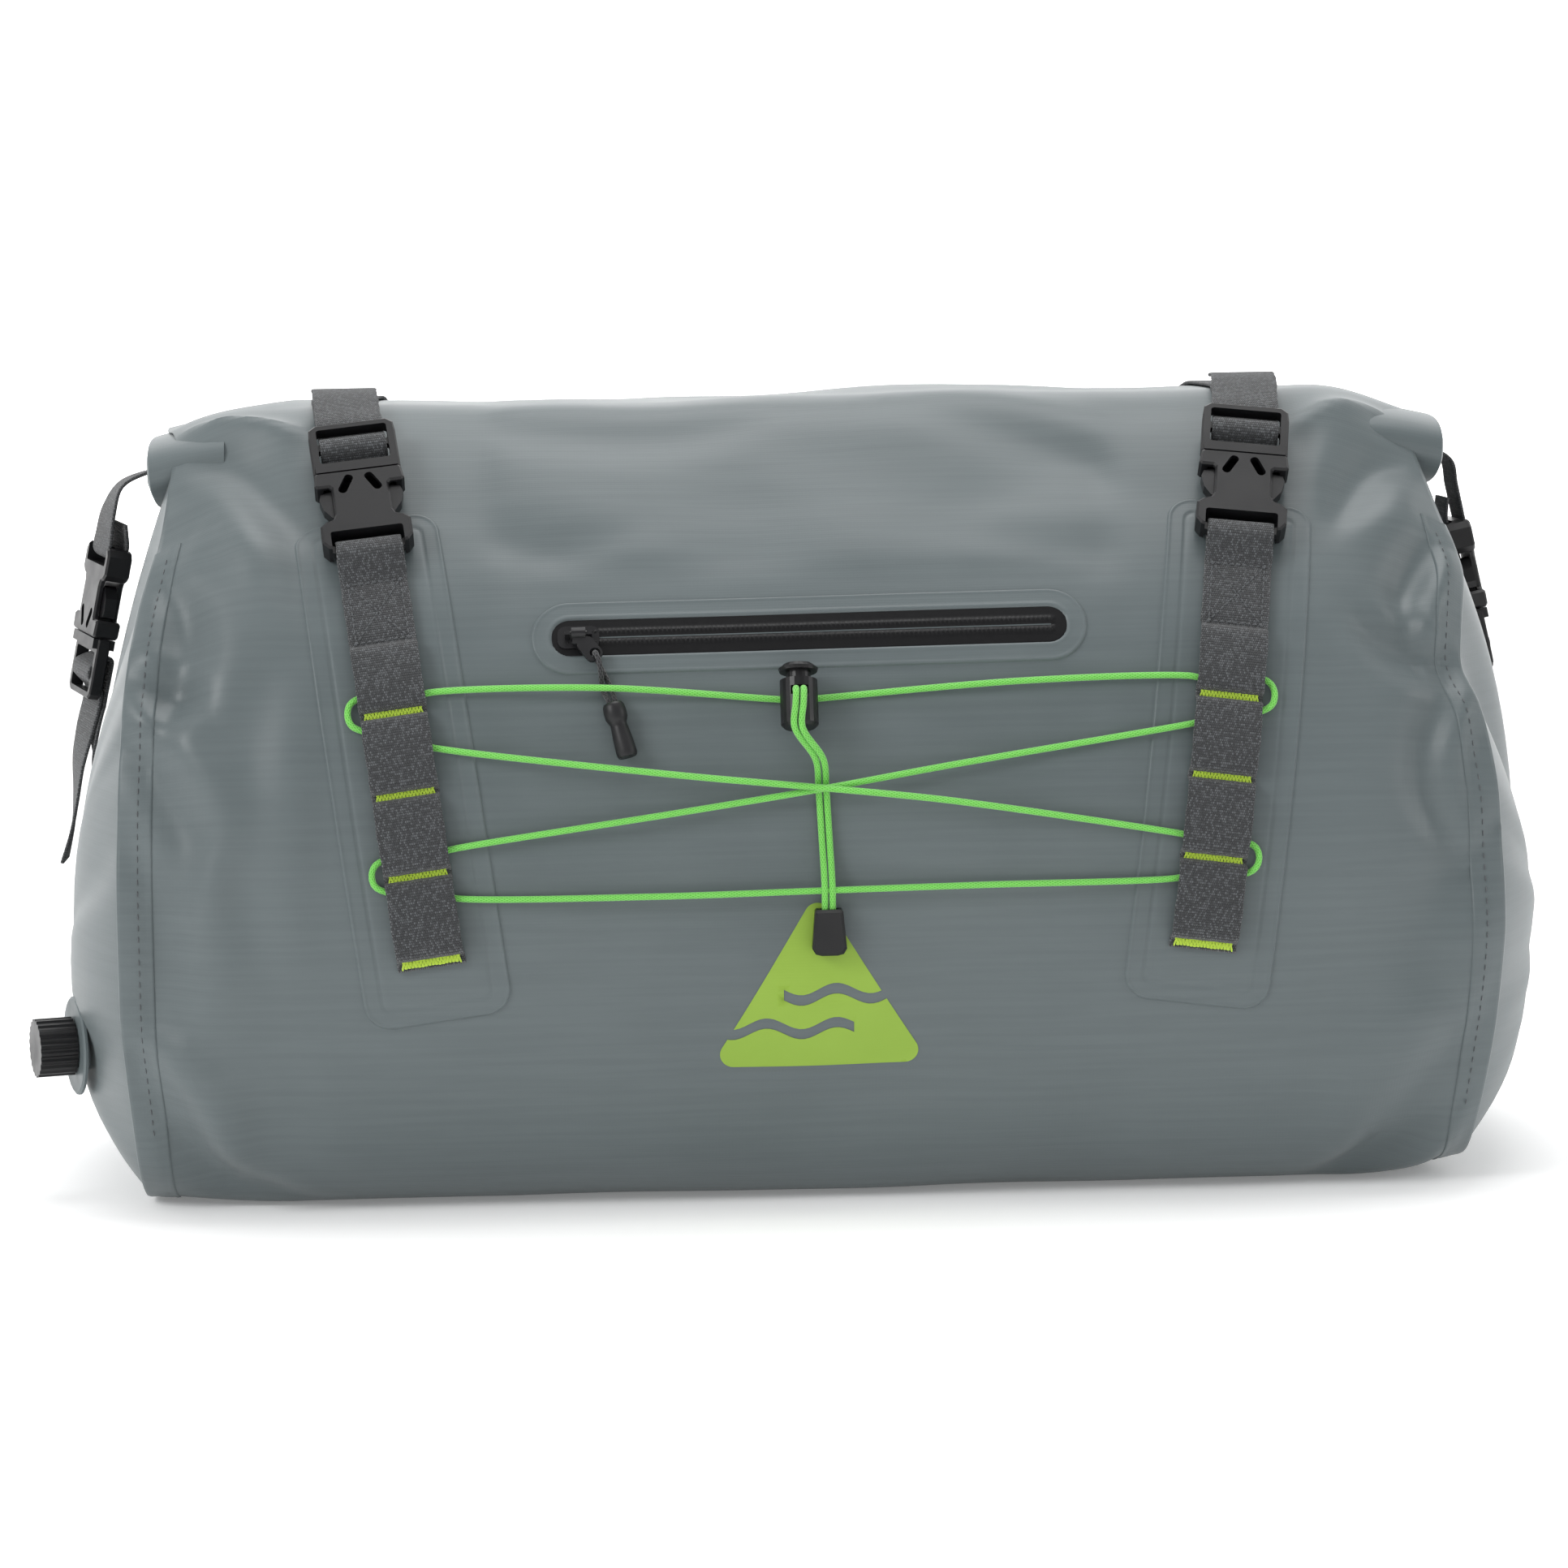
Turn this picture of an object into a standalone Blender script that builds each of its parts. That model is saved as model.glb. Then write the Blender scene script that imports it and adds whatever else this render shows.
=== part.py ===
"""Roll-top dry bag, 40 litre class, with side-release buckles, a welded zip pocket and a bungee lace.

Metres, +Z up. The bag stands on z = 0 with the middle of its flat base at the origin. X runs along
the bag, -Y is the front with the zip, and the valve is in the -X end.
"""

import math

import bmesh
import bpy
import numpy as np
from mathutils import Matrix, Vector

# Fabric and fits
FABRIC = 0.0009  # coated tarpaulin
PATCH_FABRIC = 0.0006
GAP = 0.0003  # between pieces that touch
WEBBING = 0.0014
WEBBING_WIDTH = 0.025

# Bag shape: the section across the bag, as heights and reaches of the front, mirrored to the rear
BASE_REACH = 0.092  # half the depth of the flat base
BELLY_REACH = 0.148
BELLY_HEIGHT = 0.108
SHOULDER_REACH = 0.090
SHOULDER_HEIGHT = 0.2605
LIP_REACH = 0.004
LIP_HEIGHT = 0.2625
HALF_LENGTH = 0.257  # middle to end seam
STRAIGHT_HALF = HALF_LENGTH - 0.062  # the section is constant this far
END_SHRINK = 0.10  # share by which the section shrinks at the seam
END_LIFT = 0.03  # the same for the heights below the centre
END_CENTRE_HEIGHT = 0.130  # the section shrinks about this height
END_INSET = 0.010  # how far the seam comes in at the base and the top
END_BULGE = 0.030
END_HUB_HEIGHT = 0.085  # fullest point of the end panels
FLANGE = 0.008  # lap of the end panels inside the wrap

# Roll closure
ROLL_HALF_LENGTH = HALF_LENGTH - 0.007
ROLL_REACH = 0.066
ROLL_HALF_HEIGHT = 0.0175
ROLL_HEIGHT = 0.2830
ROLL_TURNS = 2.25
ROLL_PITCH = 0.005
ROLL_FABRIC = 0.0018  # two layers welded together
ROLL_DROOP = 0.009
STIFFENER_LENGTH = 2 * ROLL_HALF_LENGTH - 0.120
STIFFENER_WIDTH = 0.036
STIFFENER_THICK = 0.0015

# Front straps and their patches
STRAP_LEAN = math.radians(7.5)
STRAP_X = 0.1445  # strap centre at STRAP_X_HEIGHT
STRAP_X_HEIGHT = 0.110
TACK_HEIGHTS = (0.0985, 0.1300, 0.1595, 0.1885)
TACK_HALF = 0.0012
BOX_LOW = 0.2125
BOX_HIGH = 0.2350
STRAP_END_HEIGHT = 0.0960
PATCH_WIDTH = 0.055
PATCH_LOW = 0.075
PATCH_HIGH = 0.2585
PATCH_CORNER = 0.010
REAR_STRAP_LOW = 0.120
REAR_STRAP_HIGH = 0.235

# Side-release buckles for 25 mm webbing: along the buckle, V = 0 is in the female's mouth
BUCKLE_WIDTH = 0.034
BUCKLE_THICK = 0.010
FEMALE_END = -0.030
FEMALE_MOUTH = 0.006
BAR_V = -0.0283
BAR_HALF = 0.0017
SLOT_TOP = -0.022
LOOP_RADIUS = 0.0034
MALE_END = 0.0305
ARM_ROOT = 0.0058  # where the latch arms leave the male half
ARM_ROOT_OUT = 0.0091
SLOT_WIDTH = WEBBING_WIDTH + 0.0020  # slots and recesses that webbing goes through
FRONT_BAR_HEIGHT = 0.2445  # height of the skin behind the front buckles' webbing bars
FRONT_BAR_STAND = 0.0066
TAIL_LENGTH = 0.045
END_BUCKLE_HEIGHT = 0.217
END_BUCKLE_X = {"left": HALF_LENGTH + 0.0190, "right": HALF_LENGTH + 0.0120}
END_BUCKLE_TILT = math.radians(12)
END_TWIST = {"left": math.radians(20), "right": 0.0}
END_STRAP_LOW = 0.105
END_TAIL_LENGTH = 0.062

# Zip
ZIP_HEIGHT = 0.2155
ZIP_TILT = math.radians(0.6)
WINDOW_LENGTH = 0.193
WINDOW_WIDTH = 0.015
ZIP_PATCH_MARGIN = 0.0075
TAPE_MARGIN = 0.005
TAPE_THICK = 0.0008
SLIT_HALF = 0.0008
COIL_WIDTH = 0.0025
COIL_THICK = 0.0018
SLIDER_X = -0.0862
SLIDER_LENGTH = 0.0156
TAB_LENGTH = 0.0135
TAB_SLANT = math.radians(35)
BAIL_OUT = 0.0041  # the bail's bar above the skin
BAIL_RADIUS = 0.0009
BAIL_CLEARANCE = 0.0004
KNUCKLE_HALF = 0.0026
POST_HALF = 0.00095
POST_TOP = 0.0012  # above the middle of the bail's bar
RING_RADIUS = 0.0023
PULLER_CORD = 0.0020
GRIP_LENGTH = 0.021
GRIP_TOP = (-0.0742, 0.1900)  # x and height
GRIP_WAY = (0.28, -1.0)  # x and height
GRIP_STAND = 0.0048
CROSSING_HEIGHT = 0.1957  # the puller's loop passes under the lace here
LINER_DEPTH = 0.012
LINER_LOW = 0.100

# Valve
VALVE_ANGLE = math.radians(201)
VALVE_RADIUS = 0.576  # share of the way from the end panel's hub to its seam
VALVE_TURN = math.radians(18)
VALVE_STAND = 0.0042
VALVE_BORE = 0.006
NECK_RADIUS = 0.0086
NECK_HEIGHT = 0.0105
VALVE_FLANGE_RADIUS = 0.019
VALVE_FLANGE = 0.0016
CAP_RADIUS = 0.0113
CAP_HEIGHT = 0.0143
CAP_RIBS = 22
SEAL_THICK = 0.0012

# Bungee lace and what is on it
CORD = 0.0025
LOOP_RISE = CORD + 0.0021  # the webbing loops over the lace
LOCK_X = -0.0054
LOCK_HEIGHT = 0.1870
LOCK_RADIUS = 0.0070
LOCK_HALF = 0.0090
HOLE_UP = 0.0040
BUTTON_TRAVEL = 0.0030
LOCK_STAND = 3 * GAP + CORD + LOCK_RADIUS
CORD_END_X = 0.0040
CORD_END_HEIGHT = 0.1062
CORD_END_STAND = 0.0043

EMBLEM_HEIGHT = 0.0855
EMBLEM_WIDTH = 0.074
EMBLEM_TALL = 0.062
EMBLEM_THICK = 0.0002
EMBLEM_CUT = 0.0040
EMBLEM_WAVE = 0.0022
EMBLEM_WAVE_LENGTH = 0.026
EMBLEM_KEEP = 0.024  # uncut width at a wave's inner end, from the far side

X, Y, Z = Vector((1, 0, 0)), Vector((0, 1, 0)), Vector((0, 0, 1))


def clear_scene():
    for obj in list(bpy.data.objects):
        bpy.data.objects.remove(obj, do_unlink=True)


def material(name, colour, roughness, metallic=0.0):
    found = bpy.data.materials.get(name)
    if found:
        return found
    made = bpy.data.materials.new(name)
    made.use_nodes = True
    shader = made.node_tree.nodes["Principled BSDF"]
    shader.inputs["Base Color"].default_value = (*colour, 1)
    shader.inputs["Roughness"].default_value = roughness
    shader.inputs["Metallic"].default_value = metallic
    return made


def tarpaulin():
    return material("grey_tarpaulin", (0.145, 0.172, 0.180), 0.45)


def webbing():
    return material("grey_webbing", (0.055, 0.057, 0.060), 0.85)


def acetal():
    return material("black_acetal", (0.012, 0.012, 0.013), 0.38)


def lime():
    return material("lime_cord", (0.200, 0.640, 0.098), 0.5)


def add_object(name, mesh, look):
    obj = bpy.data.objects.new(name, mesh)
    obj.data.materials.clear()
    obj.data.materials.append(look)
    bpy.context.scene.collection.objects.link(obj)
    return obj


def mesh_of(name, points, faces, look, smooth=False):
    mesh = bpy.data.meshes.new(name)
    mesh.from_pydata([tuple(p) for p in points], [], faces)
    outward(mesh)
    obj = add_object(name, mesh, look)
    if smooth:
        mesh.shade_smooth()
        mesh.set_sharp_from_angle(angle=math.radians(35))
    return obj


def outward(mesh):
    work = bmesh.new()
    work.from_mesh(mesh)
    bmesh.ops.recalc_face_normals(work, faces=work.faces)
    work.to_mesh(mesh)
    work.free()


def solid_from(work, name, look):
    """Turns a finished bmesh into an object."""
    bmesh.ops.recalc_face_normals(work, faces=work.faces)
    mesh = bpy.data.meshes.new(name)
    work.to_mesh(mesh)
    work.free()
    return add_object(name, mesh, look)


# The skin: the outer face of the bag, drawn flat as (x, s, h). s runs up the front from the middle
# of the base and is negative up the rear, and h is the height above the skin.


def bezier(a, b, c, d, steps):
    t = np.linspace(0, 1, steps + 1)[1:, None]
    a, b, c, d = (np.array(p, float) for p in (a, b, c, d))
    return (1 - t) ** 3 * a + 3 * (1 - t) ** 2 * t * b + 3 * (1 - t) * t * t * c + t**3 * d


def front_section():
    """Points from the middle of the base up the front to the lip, as (y, z)."""
    reach, height = BELLY_REACH, BELLY_HEIGHT
    base = bezier((0, 0), (-BASE_REACH / 3, 0), (-2 * BASE_REACH / 3, 0), (-BASE_REACH, 0), 2)
    low = bezier(
        (-BASE_REACH, 0),
        (-BASE_REACH - 0.77 * (reach - BASE_REACH), 0),
        (-reach, 0.46 * height),
        (-reach, height),
        8,
    )
    rise = SHOULDER_HEIGHT - height
    front = bezier(
        (-reach, height),
        (-reach, height + 0.505 * rise),
        (-SHOULDER_REACH - 0.60 * (reach - SHOULDER_REACH), height + 0.767 * rise),
        (-SHOULDER_REACH, SHOULDER_HEIGHT),
        10,
    )
    top = bezier(
        (-SHOULDER_REACH, SHOULDER_HEIGHT),
        (-0.87 * SHOULDER_REACH, SHOULDER_HEIGHT + 0.011),
        (-0.61 * SHOULDER_REACH, LIP_HEIGHT + 0.003),
        (-LIP_REACH, LIP_HEIGHT),
        6,
    )
    return np.concatenate([base, low, front, top])


def whole_section():
    front = front_section()
    rear = front[::-1] * (-1, 1)
    return np.concatenate([rear, [(0.0, 0.0)], front])


SECTION = whole_section()
STEPS = np.linalg.norm(np.diff(SECTION, axis=0), axis=1)
FOLDS = np.concatenate([[0], np.cumsum(STEPS)]) - STEPS.sum() / 2


def mitres():
    """For each point of the section, the way it moves for each metre of height above the skin."""
    along = np.diff(SECTION, axis=0) / STEPS[:, None]
    out = np.stack([-along[:, 1], along[:, 0]], axis=1)
    ahead = np.concatenate([out, out[-1:]])
    behind = np.concatenate([out[:1], out])
    middle = ahead + behind
    middle /= np.linalg.norm(middle, axis=1)[:, None]
    return middle / (middle * ahead).sum(1)[:, None]


MITRES = mitres()


def skin_yz(s, h=0.0):
    at = int(np.clip(np.searchsorted(FOLDS, s) - 1, 0, len(FOLDS) - 2))
    t = (s - FOLDS[at]) / STEPS[at]
    low = SECTION[at] + h * MITRES[at]
    high = SECTION[at + 1] + h * MITRES[at + 1]
    return low + t * (high - low)


def end_share(x):
    return min(1.0, max(0.0, (abs(x) - STRAIGHT_HALF) / (HALF_LENGTH - STRAIGHT_HALF)))


def skin(x, s, h=0.0):
    """The place of a point that is drawn flat on the bag."""
    y, z = skin_yz(s, h)
    share = end_share(x) ** 2
    inset = END_INSET * share * ((z - END_CENTRE_HEIGHT) / END_CENTRE_HEIGHT) ** 2
    keep = 1 - END_SHRINK * share
    keep_height = keep if z > END_CENTRE_HEIGHT else 1 - END_LIFT * share
    x = x - math.copysign(inset, x)
    return Vector((x, y * keep, END_CENTRE_HEIGHT + (z - END_CENTRE_HEIGHT) * keep_height))


def s_at(height):
    """How far up the front the skin reaches this height."""
    up = SECTION[:, 1]
    start = int(np.argmin(abs(FOLDS)))
    for i in range(start, len(up) - 1):
        if up[i] <= height < up[i + 1]:
            return FOLDS[i] + STEPS[i] * (height - up[i]) / (up[i + 1] - up[i])
    raise ValueError(f"the front never reaches {height}")


def skin_axes(s):
    """Up the skin and out of it, where the section is constant."""
    low, high = skin_yz(s - 0.001), skin_yz(s + 0.001)
    up = Vector((0, *(high - low))).normalized()
    return up, X.cross(up)


def laid_flat(work, name, look, low, high):
    """Folds a solid that is drawn flat, with x, s and h as its coordinates, round the skin."""
    for fold in FOLDS:
        if low < fold < high:
            geometry = work.verts[:] + work.edges[:] + work.faces[:]
            bmesh.ops.bisect_plane(work, geom=geometry, plane_co=(0, fold, 0), plane_no=(0, 1, 0))
    for vert in work.verts:
        vert.co = skin(*vert.co)
    return solid_from(work, name, look)


def prism(outline, low, high):
    """An outline in the first two coordinates, drawn up from low to high in the third."""
    work = bmesh.new()
    verts = [work.verts.new((*p, low)) for p in outline]
    face = work.faces.new(verts)
    lifted = bmesh.ops.extrude_face_region(work, geom=[face])["geom"]
    for vert in (v for v in lifted if isinstance(v, bmesh.types.BMVert)):
        vert.co.z = high
    bmesh.ops.recalc_face_normals(work, faces=work.faces)
    return work


def rounded(length, width, corner, steps=4):
    """A rectangle with round corners, about the origin."""
    points = []
    for turn, (sx, sy) in enumerate(((1, 1), (-1, 1), (-1, -1), (1, -1))):
        cx, cy = sx * (length / 2 - corner), sy * (width / 2 - corner)
        for k in range(steps + 1):
            angle = (turn + k / steps) * math.pi / 2
            points.append((cx + corner * math.cos(angle), cy + corner * math.sin(angle)))
    return points


def turned(points, angle, centre):
    c, s = math.cos(angle), math.sin(angle)
    return [(centre[0] + c * x - s * y, centre[1] + s * x + c * y) for x, y in points]


def boxed(low, high):
    work = bmesh.new()
    made = bmesh.ops.create_cube(work, size=1)["verts"]
    for vert in made:
        vert.co = [a + (b - a) * (0.5 + c) for a, b, c in zip(low, high, vert.co)]
    return work


def cylinder(radius, low, high, sides=16, start=0.0):
    ring = [
        (radius * math.cos(start + math.tau * k / sides), radius * math.sin(start + math.tau * k / sides))
        for k in range(sides)
    ]
    return prism(ring, low, high)


def helper(work, matrix=None):
    """A cutter or a joined shape, which the build leaves out."""
    obj = solid_from(work, "helper", acetal())
    obj.hide_render = True
    obj.display_type = "WIRE"
    if matrix:
        obj.matrix_world = matrix
    return obj


def combine(obj, other, operation):
    step = obj.modifiers.new(operation.lower(), "BOOLEAN")
    step.operation = operation
    step.solver = "EXACT"
    step.object = other


def finished_mesh(obj, name):
    """The object's mesh with its modifiers applied; the object and its helpers are removed."""
    bpy.context.view_layer.update()
    graph = bpy.context.evaluated_depsgraph_get()
    mesh = bpy.data.meshes.new_from_object(obj.evaluated_get(graph))
    mesh.name = name
    helpers = [m.object for m in obj.modifiers if m.type == "BOOLEAN"]
    for used in [obj, *helpers]:
        bpy.data.objects.remove(used, do_unlink=True)
    return mesh


def frame(origin, across, along, out):
    matrix = Matrix((across, along, out)).transposed().to_4x4()
    matrix.translation = origin
    return matrix


def ribbon(name, points, across, width=WEBBING_WIDTH, thick=WEBBING, look=None):
    """Webbing: a flat band along points, with the way its width runs at each."""
    points = [Vector(p) for p in points]
    rings = []
    for i, point in enumerate(points):
        before = (point - points[i - 1]).normalized() if i else None
        after = (points[i + 1] - point).normalized() if i < len(points) - 1 else None
        before, after = before or after, after or before
        side = Vector(across[i]).normalized()
        normal = (side.cross(before).normalized() + side.cross(after).normalized()).normalized()
        reach = thick / 2 / max(0.5, normal.dot(side.cross(after).normalized()))
        offset, up = side * width / 2, normal * reach
        rings.append([point - offset - up, point + offset - up, point + offset + up, point - offset + up])
    verts = [corner for ring in rings for corner in ring]
    faces = [(0, 1, 2, 3)]
    for i in range(len(rings) - 1):
        a, b = 4 * i, 4 * i + 4
        faces += [(a + k, a + (k + 1) % 4, b + (k + 1) % 4, b + k) for k in range(4)]
    last = 4 * (len(rings) - 1)
    faces.append((last + 3, last + 2, last + 1, last))
    return mesh_of(name, verts, faces, look or webbing())


# Bag fabric


def sheet(name, rows, look, thickness):
    """A grid of points given as rows, made a sheet of this thickness under its outer face."""
    count = len(rows[0])
    verts = [p for row in rows for p in row]
    faces = []
    for i in range(len(rows) - 1):
        for j in range(count - 1):
            a = i * count + j
            faces.append((a, a + 1, a + count + 1, a + count))
    mesh = bpy.data.meshes.new(name)
    mesh.from_pydata([tuple(p) for p in verts], [], faces)
    obj = add_object(name, mesh, look)
    step = obj.modifiers.new("fabric", "SOLIDIFY")
    step.thickness = thickness
    step.offset = -1
    step.use_even_offset = True
    return obj


def wrap_stations():
    lap = HALF_LENGTH - FLANGE
    ends = [STRAIGHT_HALF, (STRAIGHT_HALF + lap) / 2, lap, HALF_LENGTH]
    return [-x for x in ends[::-1]] + [0.0] + ends


def wrap_panel():
    """Front, base and rear in one sheet, with the zip's window in the front."""
    stations = wrap_stations()
    layers = [[[skin(x, s, h) for s in FOLDS] for x in stations] for h in (0, -FABRIC)]
    count = len(FOLDS)
    below = count * len(stations)
    verts = [p for rows in layers for row in rows for p in row]
    faces = []
    for i in range(len(stations) - 1):
        for j in range(count - 1):
            a = i * count + j
            faces.append((a, a + 1, a + count + 1, a + count))
            faces.append((below + a, below + a + count, below + a + count + 1, below + a + 1))
    last = count * (len(stations) - 1)
    for j in range(count - 1):
        for a in (j, last + j):
            faces.append((a, a + 1, below + a + 1, below + a))
    for i in range(len(stations) - 1):
        for a in (i * count, i * count + count - 1):
            faces.append((a, a + count, below + a + count, below + a))
    obj = mesh_of("wrap_panel", verts, faces, tarpaulin())
    window = zip_outline(WINDOW_LENGTH, WINDOW_WIDTH)
    cutter = laid_flat(prism(window, -3 * FABRIC, 3 * FABRIC), "window_cutter", acetal(), -1, 1)
    cutter.hide_render = True
    cutter.display_type = "WIRE"
    combine(obj, cutter, "DIFFERENCE")
    return obj


def end_boundary(side):
    """The seam that the end panel fills, inside the wrap, as a closed ring."""
    under = -FABRIC - GAP
    return [skin(side * HALF_LENGTH, s, under) for s in FOLDS]


def bulged(side, corner, share):
    """A point of the end panel, this share of the way from its hub to a corner of its seam."""
    hub = Vector((corner.x, 0, END_HUB_HEIGHT))
    way = corner - hub
    upward = max(0.0, way.z / way.length)
    power = 2.8 - 1.0 * upward
    place = hub + way * share
    middle = side * HALF_LENGTH * (1 - share) + corner.x * share
    place.x = middle + side * (END_BULGE * (1 - share**power) + GAP)
    return place


def end_point(side, angle, share):
    """The outer face of an end panel at an angle about its hub, seen from +X with 0 along +Y."""
    ring = end_boundary(side)
    aim = Vector((math.cos(angle), math.sin(angle)))
    best = None
    for a, b in zip(ring, ring[1:] + ring[:1]):
        p = Vector((a.y, a.z - END_HUB_HEIGHT))
        q = Vector((b.y, b.z - END_HUB_HEIGHT))
        cross_p, cross_q = aim.cross(p), aim.cross(q)
        if cross_p * cross_q <= 0 and cross_p != cross_q:
            corner = a.lerp(b, cross_p / (cross_p - cross_q))
            if Vector((corner.y, corner.z - END_HUB_HEIGHT)).dot(aim) > 0:
                best = corner
    return bulged(side, best, share)


def end_line(side, height):
    """The outer face of an end panel on the bag's middle plane, at this height."""
    angle = math.pi / 2 if height > END_HUB_HEIGHT else -math.pi / 2
    full = abs(end_point(side, angle, 1).z - END_HUB_HEIGHT)
    return end_point(side, angle, abs(height - END_HUB_HEIGHT) / full)


def end_panel(name, side):
    under = -FABRIC - GAP
    ring = end_boundary(side)
    flange = [skin(side * (HALF_LENGTH - FLANGE), s, under) for s in FOLDS]
    rows = [flange] + [
        [bulged(side, corner, share) for corner in ring] for share in (1, 0.86, 0.62, 0.32)
    ]
    count = len(ring)
    verts = [p for row in rows for p in row]
    faces = []
    for i in range(len(rows) - 1):
        for j in range(count):
            k = (j + 1) % count
            faces.append((i * count + j, i * count + k, (i + 1) * count + k, (i + 1) * count + j))
    hub = len(verts)
    verts.append(bulged(side, ring[0], 0))
    last = (len(rows) - 1) * count
    faces += [(last + j, last + (j + 1) % count, hub) for j in range(count)]
    mesh = bpy.data.meshes.new(name)
    mesh.from_pydata([tuple(p) for p in verts], [], faces)
    obj = add_object(name, mesh, tarpaulin())
    outward(mesh)
    step = obj.modifiers.new("fabric", "SOLIDIFY")
    step.thickness = FABRIC
    step.offset = -1
    if mesh.polygons[len(faces) - 1].normal.x * side < 0:
        mesh.flip_normals()
    return obj


def seam_tape(name, side):
    """Tape welded over the end of the wrap."""
    far, near = HALF_LENGTH - 0.0008, HALF_LENGTH - FLANGE
    corners = [(near, GAP), (far, GAP), (far, GAP + PATCH_FABRIC), (near, GAP + PATCH_FABRIC)]
    verts, faces = [], []
    folds = [s for s in FOLDS if abs(s) <= s_at(SHOULDER_HEIGHT - 0.004)]
    for s in folds:
        verts += [skin(side * x, s, h) for x, h in corners]
    for i in range(len(folds) - 1):
        a, b = 4 * i, 4 * i + 4
        faces += [(a + k, a + (k + 1) % 4, b + (k + 1) % 4, b + k) for k in range(4)]
    faces += [(0, 1, 2, 3), tuple(len(verts) - 4 + k for k in range(4))]
    return mesh_of(name, verts, faces, tarpaulin())


def roll_droop(x):
    return -ROLL_DROOP * end_share(x) ** 2


def roll_ring(inset):
    """The outline of the roll, this far inside its outer face, as a function of the angle."""
    reach, half = ROLL_REACH - inset, ROLL_HALF_HEIGHT - inset

    def place(angle):
        c, s = math.cos(angle), math.sin(angle)
        flat = 0.75
        y = reach * math.copysign(abs(c) ** flat, c)
        return y, ROLL_HEIGHT + half * math.copysign(abs(s) ** flat, s)

    return place


def roll_closure():
    """The mouth of the bag, rolled down flat: a double sheet wound from a slot outwards."""
    steps = int(ROLL_TURNS * 14)
    outer, inner = [], []
    for k in range(steps + 1):
        turn = ROLL_TURNS * k / steps
        angle = -math.pi / 2 + math.tau * (turn - ROLL_TURNS)
        depth = ROLL_PITCH * (ROLL_TURNS - turn)
        outer.append(roll_ring(depth)(angle))
        inner.append(roll_ring(depth + ROLL_FABRIC)(angle))
    outline = outer + inner[::-1]
    stations = [-1, -0.9, -0.78, 0.78, 0.9, 1]
    rows = []
    for share in stations:
        x = share * ROLL_HALF_LENGTH
        rows.append([(x, y, z + roll_droop(x)) for y, z in outline])
    count = len(outline)
    faces = []
    for i in range(len(rows) - 1):
        for j in range(count):
            k = (j + 1) % count
            faces.append((i * count + j, i * count + k, (i + 1) * count + k, (i + 1) * count + j))
    for base, turn in ((0, 1), ((len(rows) - 1) * count, -1)):
        for j in range(steps):
            face = (base + j, base + j + 1, base + count - 2 - j, base + count - 1 - j)
            faces.append(face[::turn])
    return mesh_of("roll_closure", [p for row in rows for p in row], faces, tarpaulin())


def roll_stiffener():
    half = (STIFFENER_LENGTH / 2, STIFFENER_WIDTH / 2, STIFFENER_THICK / 2)
    work = boxed([-h for h in half], half)
    obj = solid_from(work, "roll_stiffener", material("black_polyethylene", (0.02, 0.02, 0.02), 0.5))
    obj.location.z = ROLL_HEIGHT
    return obj


# Patches, pocket and zip


def strap_x(height):
    """Distance of the front straps' centre line from the middle, at this height."""
    return STRAP_X + (s_at(height) - s_at(STRAP_X_HEIGHT)) * math.tan(STRAP_LEAN)


def strap_patch(name, side, face):
    """A welded patch behind a strap: face is 1 on the front and -1 on the rear."""
    low, high = s_at(PATCH_LOW), s_at(PATCH_HIGH)
    middle = (low + high) / 2
    centre = (side * (strap_x(PATCH_LOW) + strap_x(PATCH_HIGH)) / 2, face * middle)
    outline = rounded(PATCH_WIDTH, (high - low) / math.cos(STRAP_LEAN), PATCH_CORNER)
    work = prism(turned(outline, -face * side * STRAP_LEAN, centre), GAP, GAP + PATCH_FABRIC)
    return laid_flat(work, name, tarpaulin(), -1, 1)


def zip_outline(length, width, up=0.0):
    outline = rounded(length, width, width / 2 * 0.998, 6)
    return turned([(x, y + up) for x, y in outline], ZIP_TILT, (0, s_at(ZIP_HEIGHT)))


def zip_patch():
    """A welded frame round the zip window."""
    full = zip_outline(WINDOW_LENGTH + 2 * ZIP_PATCH_MARGIN, WINDOW_WIDTH + 2 * ZIP_PATCH_MARGIN)
    hole = zip_outline(WINDOW_LENGTH + 0.0006, WINDOW_WIDTH + 0.0006)
    work = bmesh.new()
    count = len(full)
    heights = (GAP, GAP + 0.0004)
    rings = [[work.verts.new((*p, h)) for p in ring] for ring in (full, hole) for h in heights]
    for a, b in ((0, 1), (1, 3), (3, 2), (2, 0)):
        for j in range(count):
            k = (j + 1) % count
            work.faces.new((rings[a][j], rings[a][k], rings[b][k], rings[b][j]))
    return laid_flat(work, "zip_patch", tarpaulin(), -1, 1)


def zip_tape(name, side):
    """Half of the zip tape: side is 1 above the slit and -1 below."""
    half_length = WINDOW_LENGTH / 2 + TAPE_MARGIN
    far = WINDOW_WIDTH / 2 + TAPE_MARGIN
    outline = rounded(2 * half_length, far - SLIT_HALF, 0.004, 3)
    outline = [(x, side * (y + (far + SLIT_HALF) / 2)) for x, y in outline]
    outline = turned(outline, ZIP_TILT, (0, s_at(ZIP_HEIGHT)))
    top = -FABRIC - GAP
    look = material("coated_zip_tape", (0.010, 0.010, 0.011), 0.5)
    return laid_flat(prism(outline, top - TAPE_THICK, top), name, look, -1, 1)


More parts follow.
